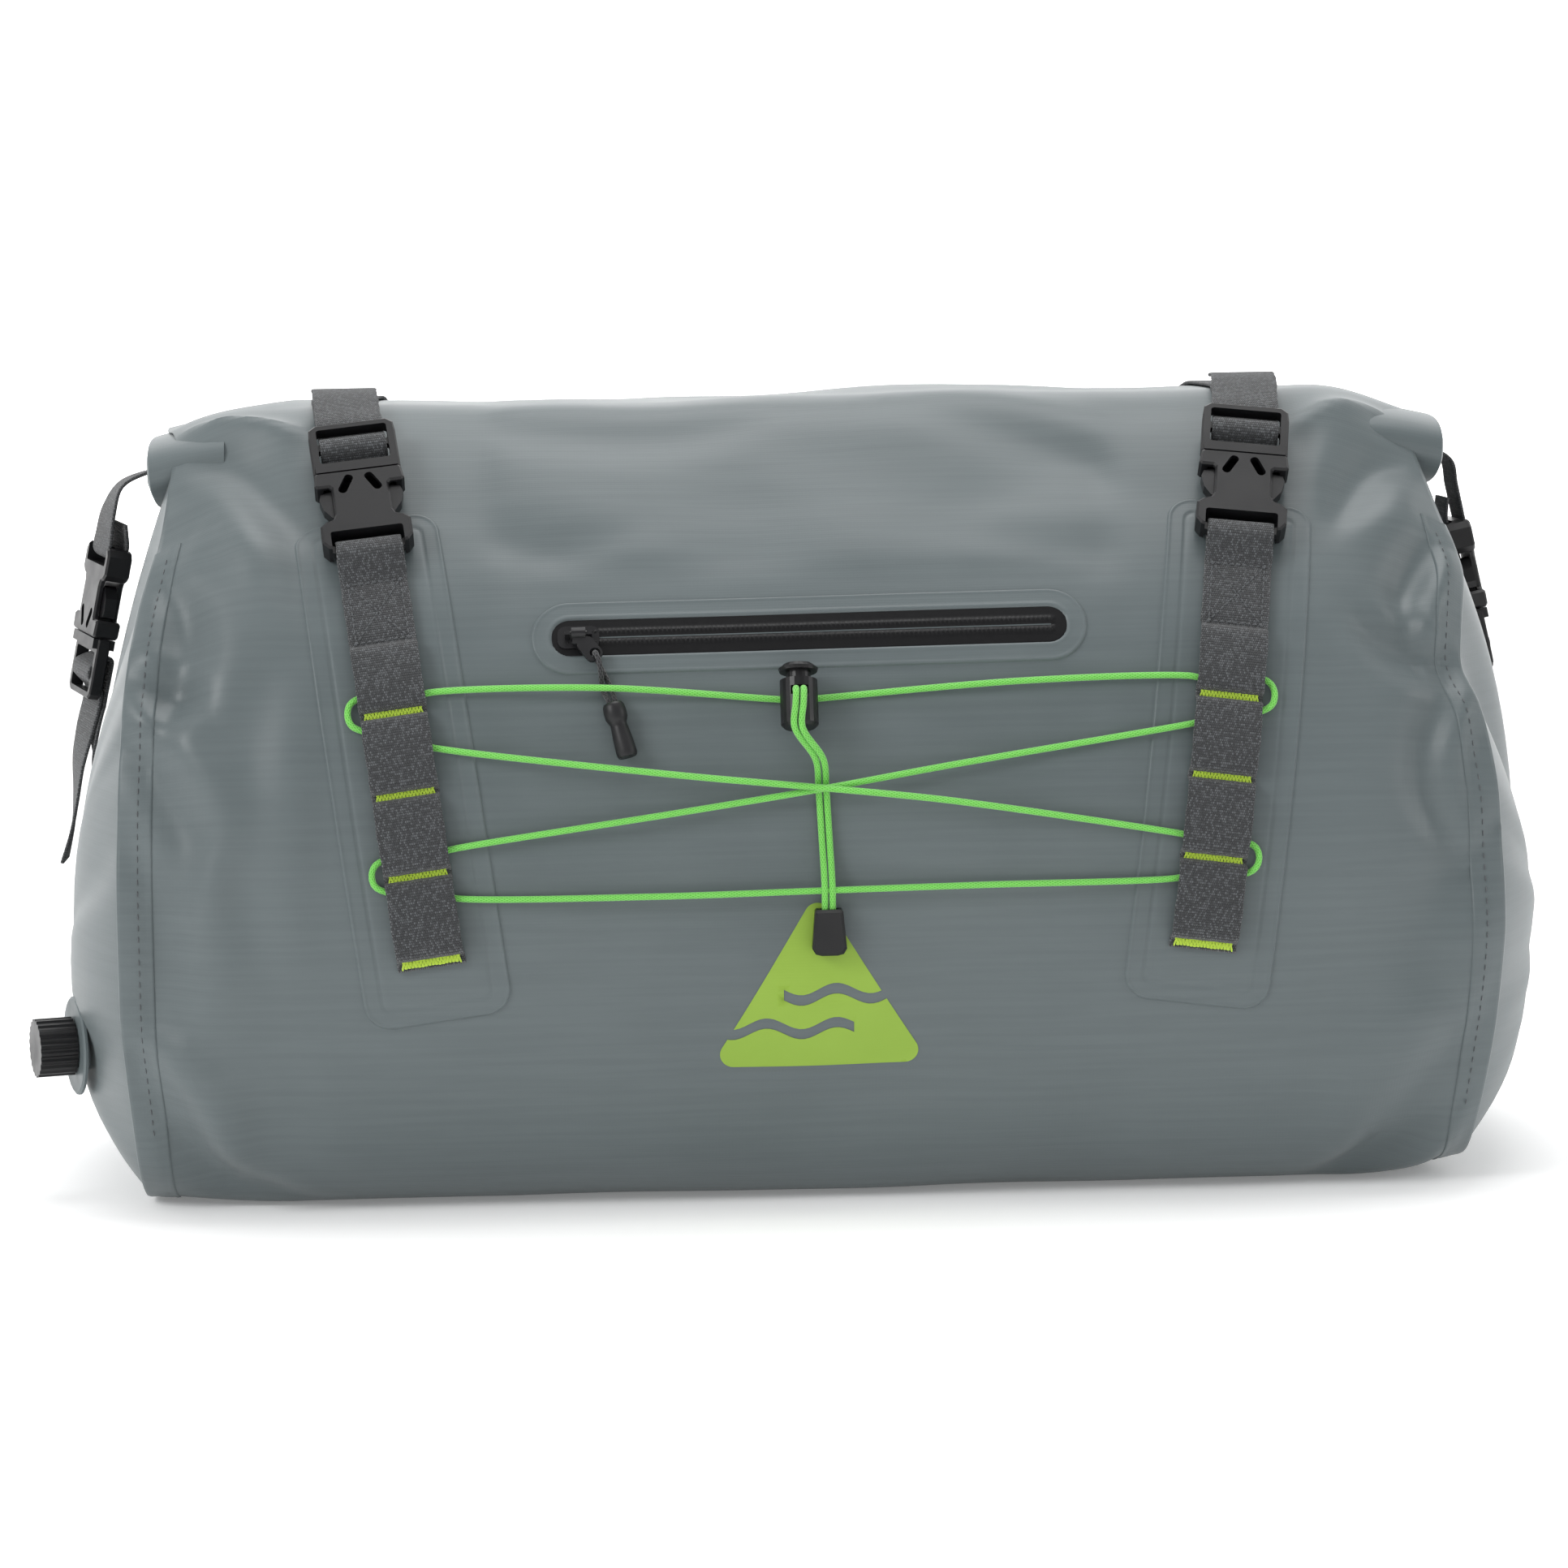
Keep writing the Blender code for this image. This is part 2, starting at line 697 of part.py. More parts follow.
def zip_coil(name, side):
    """Half of the coil, behind its tape."""
    half_length = WINDOW_LENGTH / 2 - 0.002
    top = -FABRIC - 2 * GAP - TAPE_THICK
    outline = rounded(2 * half_length, COIL_WIDTH, 0.0006, 2)
    outline = [(x, side * (y + SLIT_HALF + COIL_WIDTH / 2)) for x, y in outline]
    outline = turned(outline, ZIP_TILT, (0, s_at(ZIP_HEIGHT)))
    look = material("polyester_coil", (0.012, 0.012, 0.012), 0.6)
    return laid_flat(prism(outline, top - COIL_THICK, top), name, look, -1, 1)


def zip_frame():
    """Along the zip, up the skin across it and out of the bag, at the slider."""
    up, out = skin_axes(s_at(ZIP_HEIGHT))
    along = (X * math.cos(ZIP_TILT) + up * math.sin(ZIP_TILT)).normalized()
    origin = skin(0, s_at(ZIP_HEIGHT)) + along * SLIDER_X
    return frame(origin, along, out.cross(along), out)


def zip_slider():
    """Plate in the window, web through the slit, plate behind the coil, and the bail in front."""
    back = -FABRIC - 4 * GAP - TAPE_THICK - COIL_THICK
    front_low = -FABRIC
    body = solid_from(
        prism(rounded(SLIDER_LENGTH, 0.0092, 0.003, 3), front_low, 0.0010),
        "zip_slider",
        material("black_zinc", (0.015, 0.015, 0.016), 0.35, 0.6),
    )
    web = boxed((-0.004, -0.0004, back - 0.0006), (0.004, 0.0004, front_low + 0.0006))
    combine(body, helper(web), "UNION")
    combine(body, helper(prism(rounded(0.014, 0.0092, 0.003, 3), back - 0.0012, back)), "UNION")
    for end in (-1, 1):
        low, high = sorted((end * (KNUCKLE_HALF + 0.0006), end * (KNUCKLE_HALF + 0.0024)))
        post = boxed((low, -POST_HALF, 0.0004), (high, POST_HALF, BAIL_OUT + POST_TOP))
        combine(body, helper(post), "UNION")
    bar = cylinder(BAIL_RADIUS, -KNUCKLE_HALF - 0.0012, KNUCKLE_HALF + 0.0012, 18)
    bmesh.ops.rotate(bar, verts=bar.verts, matrix=Matrix.Rotation(math.pi / 2, 3, "Y"))
    bmesh.ops.translate(bar, verts=bar.verts, vec=(0, 0, BAIL_OUT))
    combine(body, helper(bar), "UNION")
    place(body, zip_frame())
    return body


def place(obj, matrix):
    """Moves an object together with the helpers that its Booleans use."""
    for used in [obj] + [m.object for m in obj.modifiers if m.type == "BOOLEAN"]:
        used.matrix_world = matrix @ used.matrix_world


def tab_hole():
    """Where the cord goes through the pull tab, in the slider's frame."""
    reach = TAB_LENGTH - 0.0032
    return Vector((reach * math.sin(TAB_SLANT), -reach * math.cos(TAB_SLANT), BAIL_OUT))


def zip_pull_tab():
    """A knuckle round the bail and a slanting tab with a hole for the cord."""
    look = material("black_zinc", (0.015, 0.015, 0.016), 0.35, 0.6)
    knuckle = cylinder(RING_RADIUS, -KNUCKLE_HALF, KNUCKLE_HALF, 14)
    bmesh.ops.rotate(knuckle, verts=knuckle.verts, matrix=Matrix.Rotation(math.pi / 2, 3, "Y"))
    body = solid_from(knuckle, "zip_pull_tab", look)
    combine(body, helper(boxed((-0.0023, -0.0046, -0.0007), (0.0023, -0.0010, 0.0007))), "UNION")
    neck = 0.0034
    length = TAB_LENGTH - neck
    tab = rounded(0.0066, length, 0.0022, 3)
    tab = turned([(x, y - neck - length / 2) for x, y in tab], TAB_SLANT, (-0.0008, 0.0002))
    combine(body, helper(prism(tab, -0.00075, 0.00075)), "UNION")
    bore = cylinder(BAIL_RADIUS + BAIL_CLEARANCE, -0.004, 0.004, 18)
    bmesh.ops.rotate(bore, verts=bore.verts, matrix=Matrix.Rotation(math.pi / 2, 3, "Y"))
    combine(body, helper(bore), "DIFFERENCE")
    hole = cylinder(0.0020, -0.002, 0.002, 12)
    bmesh.ops.translate(hole, verts=hole.verts, vec=tab_hole() - Vector((0, 0, BAIL_OUT)))
    combine(body, helper(hole), "DIFFERENCE")
    place(body, zip_frame() @ Matrix.Translation((0, 0, BAIL_OUT)))
    return body


def grip_frame():
    """At the top of the puller's grip, with the third axis down it."""
    x, height = GRIP_TOP
    top = laced(x, height, GRIP_STAND)
    end = laced(x + GRIP_WAY[0] * GRIP_LENGTH, height + GRIP_WAY[1] * GRIP_LENGTH, GRIP_STAND)
    return aimed(top, end - top)


def puller_cord():
    """A braided loop through the tab, both ends in the grip."""
    matrix, grip = zip_frame(), grip_frame()
    top, way = grip.translation, grip.to_3x3() @ Z
    side = way.cross(matrix.to_3x3() @ Z).normalized() * 0.0012
    low, high = Vector((0, 0, -0.0022)), Vector((0, 0, 0.0022))
    crossing = laced(GRIP_TOP[0] - 0.0018, CROSSING_HEIGHT, PULLER_CORD / 2 + 1.4 * GAP)

    def by_tab(*offset):
        return matrix @ (tab_hole() + Vector(offset))

    route = [
        top + way * 0.003 - side,
        top - side - way * 0.0015,
        crossing - side * 1.3,
        by_tab(0.0012, -0.0030, low.z),
        by_tab(0.0002, -0.0008, low.z * 0.8),
        by_tab(0, 0, 0),
        by_tab(0.0002, -0.0008, high.z * 0.9),
        by_tab(0.0014, -0.0042, high.z - 0.0004),
        crossing + side * 1.3,
        top + side - way * 0.0015,
        top + way * 0.003 + side,
    ]
    points = smooth_route(route, 26)
    look = material("braided_polyester", (0.012, 0.012, 0.012), 0.8)
    return tube("zip_puller_cord", points, PULLER_CORD, look)


def puller_grip():
    """Shrink tube over the two ends of the puller's cord."""
    bore = [(0.0024, 0.0042), (0.0024, 0.0)]
    collar = [(0.0030, 0), (0.0041, 0.0016), (0.0042, 0.0060), (0.0030, 0.0085)]
    stem = [(0.0034, 0.012), (0.0037, GRIP_LENGTH), (0.0026, GRIP_LENGTH)]
    work = lathe(bore + collar + stem, 12, close=False)
    obj = solid_from(work, "zip_puller_grip", material("shrink_tube", (0.014, 0.014, 0.015), 0.45))
    obj.matrix_world = grip_frame()
    return obj


def pocket_liner():
    """The pocket's inner wall: a shallow tray welded behind the front."""
    low = s_at(LINER_LOW)
    high = s_at(ZIP_HEIGHT) + WINDOW_WIDTH / 2 + TAPE_MARGIN + 0.0085
    half = WINDOW_LENGTH / 2 + TAPE_MARGIN + 0.0125
    across = [-half, -half + 0.006, -half + 0.013, 0, half - 0.013, half - 0.006, half]
    inside = [s for s in FOLDS if low + 0.018 < s < high - 0.010]
    up = [low, low + 0.006, low + 0.013] + inside + [high - 0.0085, high - 0.0055, high]
    rim = -FABRIC - GAP
    rows = []
    for i, s in enumerate(up):
        row = []
        for j, x in enumerate(across):
            edge = min(i, len(up) - 1 - i, j, len(across) - 1 - j)
            row.append(skin(x, s, rim if edge < 2 else -LINER_DEPTH))
        rows.append(row)
    obj = sheet("pocket_liner", rows, material("nylon_liner", (0.03, 0.03, 0.032), 0.7), 0.0005)
    if obj.data.polygons[len(across)].normal.y > 0:
        obj.data.flip_normals()
    return obj


# Turned pieces and tubes


def lathe(profile, sides, close=True):
    """Turns a profile of (radius, height) about the third axis. It is closed where it meets the axis."""
    work = bmesh.new()
    rings = []
    for radius, height in profile:
        if radius < 1e-6:
            rings.append([work.verts.new((0, 0, height))])
            continue
        ring = []
        for k in range(sides):
            angle = math.tau * k / sides
            ring.append(work.verts.new((radius * math.cos(angle), radius * math.sin(angle), height)))
        rings.append(ring)
    pairs = list(zip(rings, rings[1:]))
    if close:
        pairs.append((rings[-1], rings[0]))
    for low, high in pairs:
        if len(low) == 1 and len(high) == 1:
            continue
        for k in range(sides):
            n = (k + 1) % sides
            if len(low) == 1:
                work.faces.new((low[0], high[k], high[n]))
            elif len(high) == 1:
                work.faces.new((low[k], low[n], high[0]))
            else:
                work.faces.new((low[k], low[n], high[n], high[k]))
    if not close:
        for ring in (rings[0], rings[-1]):
            if len(ring) > 1:
                work.faces.new(ring)
    return work


def aimed(origin, way):
    """A frame with its third axis along way."""
    way = Vector(way).normalized()
    across = (Y if abs(way.y) < 0.9 else X).cross(way).normalized()
    return frame(origin, across, way.cross(across), way)


def smooth_route(route, count):
    """Points along a smooth curve through the route's own, closer together where it bends."""
    route = [Vector(p) for p in route]
    padded = [2 * route[0] - route[1], *route, 2 * route[-1] - route[-2]]
    fine = []
    for a, b, c, d in zip(padded, padded[1:], padded[2:], padded[3:]):
        gaps = [max(1e-6, (q - p).length ** 0.5) for p, q in ((a, b), (b, c), (c, d))]
        first = ((b - a) / gaps[0] - (c - a) / (gaps[0] + gaps[1]) + (c - b) / gaps[1]) * gaps[1]
        second = ((c - b) / gaps[1] - (d - b) / (gaps[1] + gaps[2]) + (d - c) / gaps[2]) * gaps[1]
        for k in range(24):
            t = k / 24
            fine.append(
                b * (2 * t**3 - 3 * t**2 + 1)
                + first * (t**3 - 2 * t**2 + t)
                + c * (3 * t**2 - 2 * t**3)
                + second * (t**3 - t**2)
            )
    fine.append(route[-1])
    fine = np.array(fine)
    steps = np.diff(fine, axis=0)
    lengths = np.linalg.norm(steps, axis=1)
    ways = steps / lengths[:, None]
    bends = np.arccos(np.clip((ways[1:] * ways[:-1]).sum(1), -1, 1))
    weight = lengths / lengths.sum() + np.concatenate([[0], bends]) / max(bends.sum(), 1e-9) * 1.4
    reach = np.concatenate([[0], np.cumsum(weight)])
    at = np.linspace(0, reach[-1], count)
    return [Vector([np.interp(v, reach, fine[:, axis]) for axis in range(3)]) for v in at]


def tube(name, points, diameter, look):
    curve = bpy.data.curves.new(name, "CURVE")
    curve.dimensions = "3D"
    curve.bevel_depth = diameter / 2
    curve.bevel_resolution = 2
    curve.use_fill_caps = True
    spline = curve.splines.new("POLY")
    spline.points.add(len(points) - 1)
    for point, at in zip(spline.points, points):
        point.co = (*at, 1)
    obj = bpy.data.objects.new(name, curve)
    curve.materials.append(look)
    bpy.context.scene.collection.objects.link(obj)
    return obj


# Buckles. The frame of a buckle: across, along (towards the male) and out.


def female_mesh():
    half = BUCKLE_WIDTH / 2
    waist, window_low, window_high = 0.0108, -0.0160, -0.0010
    right = [
        (0.0120, FEMALE_END),
        (half - 0.0020, FEMALE_END + 0.0010),
        (half, FEMALE_END + 0.0035),
        (half, window_low - 0.0030),
        (half - 0.0025, window_low - 0.0008),
        (waist + 0.0010, window_low),
        (waist, window_low + 0.0020),
        (waist, window_high - 0.0008),
        (waist + 0.0008, window_high),
        (half - 0.0010, window_high),
        (half, window_high + 0.0010),
        (half - 0.0006, FEMALE_MOUTH - 0.0010),
        (half - 0.0016, FEMALE_MOUTH),
    ]
    outline = right + [(-u, v) for u, v in right[::-1]]
    body = solid_from(prism(outline, -BUCKLE_THICK / 2, BUCKLE_THICK / 2), "female", acetal())
    bmesh_bevel(body, 0.0008)
    mouth = boxed((-0.0137, -0.0175, -0.0029), (0.0137, FEMALE_MOUTH + 0.002, 0.0029))
    combine(body, helper(mouth), "DIFFERENCE")
    bar_top = BAR_V + BAR_HALF
    slot = rounded(SLOT_WIDTH + 0.0002, SLOT_TOP - bar_top, 0.001, 2)
    slot = turned(slot, 0, (0, (SLOT_TOP + bar_top) / 2))
    combine(body, helper(prism(slot, -BUCKLE_THICK, BUCKLE_THICK)), "DIFFERENCE")
    for face in (-1, 1):
        low, high = sorted((face * BAR_HALF, face * 0.02))
        half_slot = SLOT_WIDTH / 2 + 0.0001
        recess = boxed((-half_slot, FEMALE_END - 0.001, low), (half_slot, SLOT_TOP - 0.001, high))
        combine(body, helper(recess), "DIFFERENCE")
    for side in (-1, 1):
        centre = (side * 0.0052, -0.0005)
        almond = turned(rounded(0.0034, 0.0090, 0.0015, 3), side * math.radians(28), centre)
        combine(body, helper(prism(almond, 0.001, 0.02)), "DIFFERENCE")
    return finished_mesh(body, "buckle_female")


def bmesh_bevel(obj, width):
    """Rounds the rim of a plate's two faces."""
    work = bmesh.new()
    work.from_mesh(obj.data)
    rim = [e for e in work.edges if abs(e.verts[0].co.z - e.verts[1].co.z) < 1e-6]
    bmesh.ops.bevel(work, geom=rim, offset=width, segments=1, affect="EDGES")
    work.to_mesh(obj.data)
    work.free()


def male_mesh():
    half = BUCKLE_WIDTH / 2 - 0.0005
    base = FEMALE_MOUTH + GAP
    right = [
        (half - 0.0008, base),
        (half, base + 0.0012),
        (half, 0.0245),
        (half - 0.0004, MALE_END - 0.0020),
        (half - 0.0030, MALE_END),
    ]
    outline = right + [(-u, v) for u, v in right[::-1]]
    body = solid_from(prism(outline, -0.0025, 0.0025), "male", acetal())
    bmesh_bevel(body, 0.0006)
    for low, high in ((0.0120, 0.0190), (0.0215, 0.0280)):
        slot = turned(rounded(SLOT_WIDTH - 0.0002, high - low, 0.001, 2), 0, (0, (low + high) / 2))
        combine(body, helper(prism(slot, -BUCKLE_THICK, BUCKLE_THICK)), "DIFFERENCE")
    for face in (-1, 1):
        low, high = sorted((face * 0.0015, face * 0.02))
        half_slot = SLOT_WIDTH / 2 - 0.0001
        combine(body, helper(boxed((-half_slot, 0.0150, low), (half_slot, 0.0250, high))), "DIFFERENCE")
    shoulder = boxed((-half + 0.001, base + 0.0001, -0.0044), (half - 0.001, base + 0.0040, 0.0044))
    combine(body, helper(shoulder), "UNION")
    tongue = boxed((-0.0026, -0.0100, -0.0022), (0.0026, base + 0.002, 0.0022))
    combine(body, helper(tongue), "UNION")
    return finished_mesh(body, "buckle_male")


def arm_mesh():
    """A latch arm on the +u side: its root in the mouth, its head in the side window."""
    outline = [
        (0.0074, ARM_ROOT),
        (0.0108, ARM_ROOT),
        (0.0104, -0.0015),
        (0.0150, -0.0024),
        (0.0158, -0.0050),
        (0.0146, -0.0098),
        (0.0118, -0.0136),
        (0.0094, -0.0144),
        (0.0080, -0.0120),
        (0.0084, -0.0050),
        (0.0078, -0.0010),
    ]
    work = prism(outline, -0.0023, 0.0023)
    obj = solid_from(work, "arm", acetal())
    return finished_mesh(obj, "latch_arm")


def buckle_frames():
    """The frame of each buckle, by name: towards its male half, with the third axis out of the bag."""
    frames = {}
    s = s_at(FRONT_BAR_HEIGHT)
    up, out = skin_axes(s)
    for name, side in (("front_left", -1), ("front_right", 1)):
        along = up * math.cos(STRAP_LEAN) + X * side * math.sin(STRAP_LEAN)
        bar = skin(side * strap_x(FRONT_BAR_HEIGHT), s, FRONT_BAR_STAND)
        frames[name] = frame(bar - along * BAR_V, along.cross(out), along, out)
    for name, side in (("left_end", -1), ("right_end", 1)):
        along = Vector((side * math.sin(END_BUCKLE_TILT), 0, -math.cos(END_BUCKLE_TILT)))
        out = Vector((side * math.cos(END_BUCKLE_TILT), 0, math.sin(END_BUCKLE_TILT)))
        end = name.split("_")[0]
        twist = END_TWIST[end]
        out = out * math.cos(twist) - Y * math.sin(twist)
        out = (out - along * out.dot(along)).normalized()
        origin = Vector((side * END_BUCKLE_X[end], 0, END_BUCKLE_HEIGHT))
        frames[name] = frame(origin, along.cross(out), along, out)
    return frames


def buckles():
    female, male, arm = female_mesh(), male_mesh(), arm_mesh()
    other = arm.copy()
    for vert in other.vertices:
        vert.co.x *= -1
    other.flip_normals()
    for name, matrix in buckle_frames().items():
        add_object(f"{name}_buckle_female", female, acetal()).matrix_world = matrix
        add_object(f"{name}_buckle_male", male, acetal()).matrix_world = matrix
        for tag, mesh, side in (("a", other, -1), ("b", arm, 1)):
            root = Vector((side * ARM_ROOT_OUT, ARM_ROOT, 0))
            copy = mesh.copy()
            copy.transform(Matrix.Translation(-root))
            obj = add_object(f"{name}_latch_arm_{tag}", copy, acetal())
            obj.matrix_world = matrix @ Matrix.Translation(root)


# Webbing


BAR_TURN = [math.radians(a) for a in (90, 60, 30, 0, -30, -60, -90)]
ADJUSTER = (
    (0.0340, -0.0037),
    (0.0290, -0.0037),
    (0.0272, -0.0032),
    (0.0262, -0.0022),
    (0.0232, 0.0017),
    (0.0222, 0.0025),
    (0.0184, 0.0025),
    (0.0174, 0.0016),
    (0.0146, -0.0030),
    (0.0138, -0.0046),
    (0.0143, -0.0055),
    (0.0154, -0.0058),
    (0.0340, -0.0058),
)


def in_buckle(matrix, v, w):
    return matrix @ Vector((0, v, w))


def bar_loop(matrix):
    """Centre line round a female's webbing bar, from its outer side to its inner."""
    clear = BAR_V - 0.0030
    points = [in_buckle(matrix, clear, LOOP_RADIUS)]
    for angle in BAR_TURN:
        v = BAR_V + LOOP_RADIUS * math.cos(angle)
        points.append(in_buckle(matrix, v, LOOP_RADIUS * math.sin(angle)))
    return points + [in_buckle(matrix, clear, -LOOP_RADIUS)]


def chain_path():
    """Heights and stands of a daisy-chain strap's outer layer, from its lower end to its box stitch."""
    on_patch = 2 * GAP + PATCH_FABRIC + WEBBING / 2
    points = [(STRAP_END_HEIGHT, on_patch)]
    loops = list(zip(TACK_HEIGHTS, TACK_HEIGHTS[1:])) + [(TACK_HEIGHTS[-1], BOX_LOW + TACK_HALF)]
    for low, high in loops:
        low, high = low + TACK_HALF, high - TACK_HALF
        reach = high - low
        steep = 0.0016
        points += [(low, on_patch), (low + steep, on_patch + 0.78 * LOOP_RISE)]
        for t, share in ((0.2, 0.97), (0.5, 1.06), (0.8, 0.97)):
            points.append((low + reach * t, on_patch + LOOP_RISE * share))
        points += [(high - steep, on_patch + 0.78 * LOOP_RISE), (high, on_patch)]
    return points


def daisy_strap(name, side, matrix):
    """Sewn to the front in loops for the bungee, and folded round the female's bar."""
    on_patch = 2 * GAP + PATCH_FABRIC + WEBBING / 2
    second = on_patch + WEBBING + GAP
    box = [BOX_LOW + (BOX_HIGH - BOX_LOW) * k / 4 for k in range(5)]
    flat = chain_path()[:-1] + [(height, second) for height in box]
    up_side = side * math.sin(STRAP_LEAN)
    points, across = [], []
    for height, stand in flat:
        s = s_at(height)
        points.append(skin(side * strap_x(height), s, stand))
        across.append(X * math.cos(STRAP_LEAN) - skin_axes(s)[0] * up_side)
    back = [(height, on_patch) for height in box[:0:-1] + [BOX_LOW + 0.0018]]
    for point in bar_loop(matrix):
        points.append(point)
        across.append(matrix.to_3x3() @ X)
    for height, stand in back:
        s = s_at(height)
        points.append(skin(side * strap_x(height), s, stand))
        across.append(X * math.cos(STRAP_LEAN) - skin_axes(s)[0] * up_side)
    return ribbon(name, points, across)


def offset_line(points, distance):
    """A line of (y, z) points moved to its left by a distance."""
    moved = []
    for i, point in enumerate(points):
        a, b = points[max(0, i - 1)], points[min(len(points) - 1, i + 1)]
        way = (b - a).normalized()
        moved.append(point + Vector((-way.y, way.x)) * distance)
    return moved


def taut_line(start, obstacles):
    """The upper hull from start over the obstacles, to the one that is farthest back."""
    chain = []
    for point in sorted([start] + [p for p in obstacles if p.x > start.x], key=lambda p: p.x):
        while len(chain) > 1 and (chain[-1] - chain[-2]).cross(point - chain[-2]) >= 0:
            chain.pop()
        chain.append(point)
    return chain


def spread_line(points, step):
    spread = [points[0]]
    for a, b in zip(points, points[1:]):
        pieces = max(1, round((b - a).length / step))
        spread += [a.lerp(b, k / pieces) for k in range(1, pieces + 1)]
    return spread


def top_strap(name, side, matrix):
    """From its tail through the adjuster, over the roll and down the rear, where it is sewn."""
    on_patch = 2 * GAP + PATCH_FABRIC + WEBBING / 2
    over_roll = roll_ring(-WEBBING / 2 - 4 * GAP)
    obstacles = [Vector(over_roll(math.radians(a))) for a in range(0, 181, 10)]
    rear = [-s for s in FOLDS if s_at(REAR_STRAP_HIGH) <= s <= s_at(SHOULDER_HEIGHT - 0.001)]
    obstacles += [Vector(skin_yz(s, on_patch)) for s in [*rear, -s_at(REAR_STRAP_HIGH)]]
    adjuster = [in_buckle(matrix, v, w) for v, w in ADJUSTER]
    start = adjuster[-1]
    line = spread_line(taut_line(Vector((start.y, start.z)), obstacles), 0.02)
    main, x = [start], start.x
    for a, b in zip(line, line[1:]):
        lean = STRAP_LEAN * max(-1.0, min(1.0, -(a.x + b.x) / 2 / ROLL_REACH))
        x += side * (b - a).length * math.tan(lean)
        main.append(Vector((x, b.x, b.y)))
    lift = ADJUSTER[0][1] - ADJUSTER[-1][1] + 2 * GAP
    tail = []
    above = offset_line(line, lift)
    walked = 0.0
    for i in range(1, len(above)):
        walked += (line[i] - line[i - 1]).length
        if walked > TAIL_LENGTH:
            break
        tail.append(Vector((main[i].x, above[i].x, above[i].y)))
    points = tail[::-1] + adjuster + main[1:]
    down = main[-1]
    slope = -side * math.tan(STRAP_LEAN)
    low, high = s_at(REAR_STRAP_LOW), s_at(REAR_STRAP_HIGH)
    for s in [f for f in FOLDS[::-1] if low < f < high - 0.002] + [low]:
        y, z = skin_yz(-s, on_patch)
        points.append(Vector((down.x + slope * (high - s), y, z)))
    across = []
    for i, point in enumerate(points):
        a, b = points[max(0, i - 1)], points[min(len(points) - 1, i + 1)]
        way = b - a
        if len(tail) <= i < len(tail) + len(adjuster):
            across.append(matrix.to_3x3() @ X)
            continue
        if i < len(tail):
            way = -way
        level = X - way * X.dot(way) / way.length_squared
        across.append(level.normalized())
    across = [a if a.x > 0 else -a for a in across]
    return ribbon(name, points, across)


def end_tab(name, side, matrix):
    """From beside the stiffener in the roll, out of its end and round the female's bar."""
    start = STIFFENER_LENGTH / 2 + GAP
    level = []
    for x in (start, ROLL_HALF_LENGTH - 0.035, ROLL_HALF_LENGTH - 0.015, ROLL_HALF_LENGTH + 0.002):
        level.append(Vector((side * x, 0, ROLL_HEIGHT + roll_droop(x))))
    loop = bar_loop(matrix)
    first, last = loop[0], loop[-1]
    along = matrix.to_3x3() @ Y
    shoulder = first - along * 0.012
    shoulder.y *= 0.6
    bend = level[-1].lerp(shoulder, 0.55) + Vector((side * 0.003, 0, 0.003))
    back = last - along * 0.006 + (matrix.to_3x3() @ Z) * 0.0012
    points = level + [bend, shoulder] + loop + [back]
    turned_across = matrix.to_3x3() @ X
    if turned_across.y < 0:
        turned_across = -turned_across
    across = [Y] * len(level) + [Y.lerp(turned_across, 0.4), Y.lerp(turned_across, 0.8)]
    across += [turned_across] * (len(loop) + 1)
    return ribbon(name, points, across)


def end_strap(name, side, matrix):
    """From its hanging tail through the adjuster and down to where it is sewn on the end panel."""
    stand = WEBBING / 2 + 2 * GAP
    adjuster = [in_buckle(matrix, v, w) for v, w in ADJUSTER]
    along, out = matrix.to_3x3() @ Y, matrix.to_3x3() @ Z
    tail = []
    bend = adjuster[0] + along * 0.009 + out * 0.0006
    clear = side * end_line(side, bend.z).x + stand + WEBBING + 10 * GAP  # outside the lower run
    bend.x = side * max(side * bend.x, clear)
    for k in (3, 2, 1):
        height = bend.z - (END_TAIL_LENGTH - 0.009) * k / 3
        clear = side * end_line(side, height).x + stand + WEBBING + 10 * GAP
        tail.append(Vector((side * max(side * bend.x + 0.0032 * k, clear), bend.y, height)))
    tail.append(bend)
    main = []
    top = adjuster[-1].z - 0.020
    for k in range(6):
        height = top + (END_STRAP_LOW - top) * k / 5
        point = end_line(side, height)
        slope = end_line(side, height + 0.001) - end_line(side, height - 0.001)
        normal = Vector((slope.z, 0, -slope.x)).normalized() * side
        main.append(point + normal * (stand + (0.0022 if k == 0 else 0)))
    points = tail + adjuster + main
    turned_across = matrix.to_3x3() @ X
    if turned_across.y < 0:
        turned_across = -turned_across
    across = [Y, Y.lerp(turned_across, 0.3), Y.lerp(turned_across, 0.7)]
    across += [turned_across] * (1 + len(adjuster))
    across += [Y.lerp(turned_across, 0.25)] + [Y] * (len(main) - 1)
    return ribbon(name, points, across)


# Valve


def valve_frame():
    base = end_point(-1, VALVE_ANGLE, VALVE_RADIUS)
    out = Vector((-math.cos(VALVE_TURN), -math.sin(VALVE_TURN), 0))
    matrix = aimed(base, out)
    matrix.translation = base + out * VALVE_STAND
    return matrix


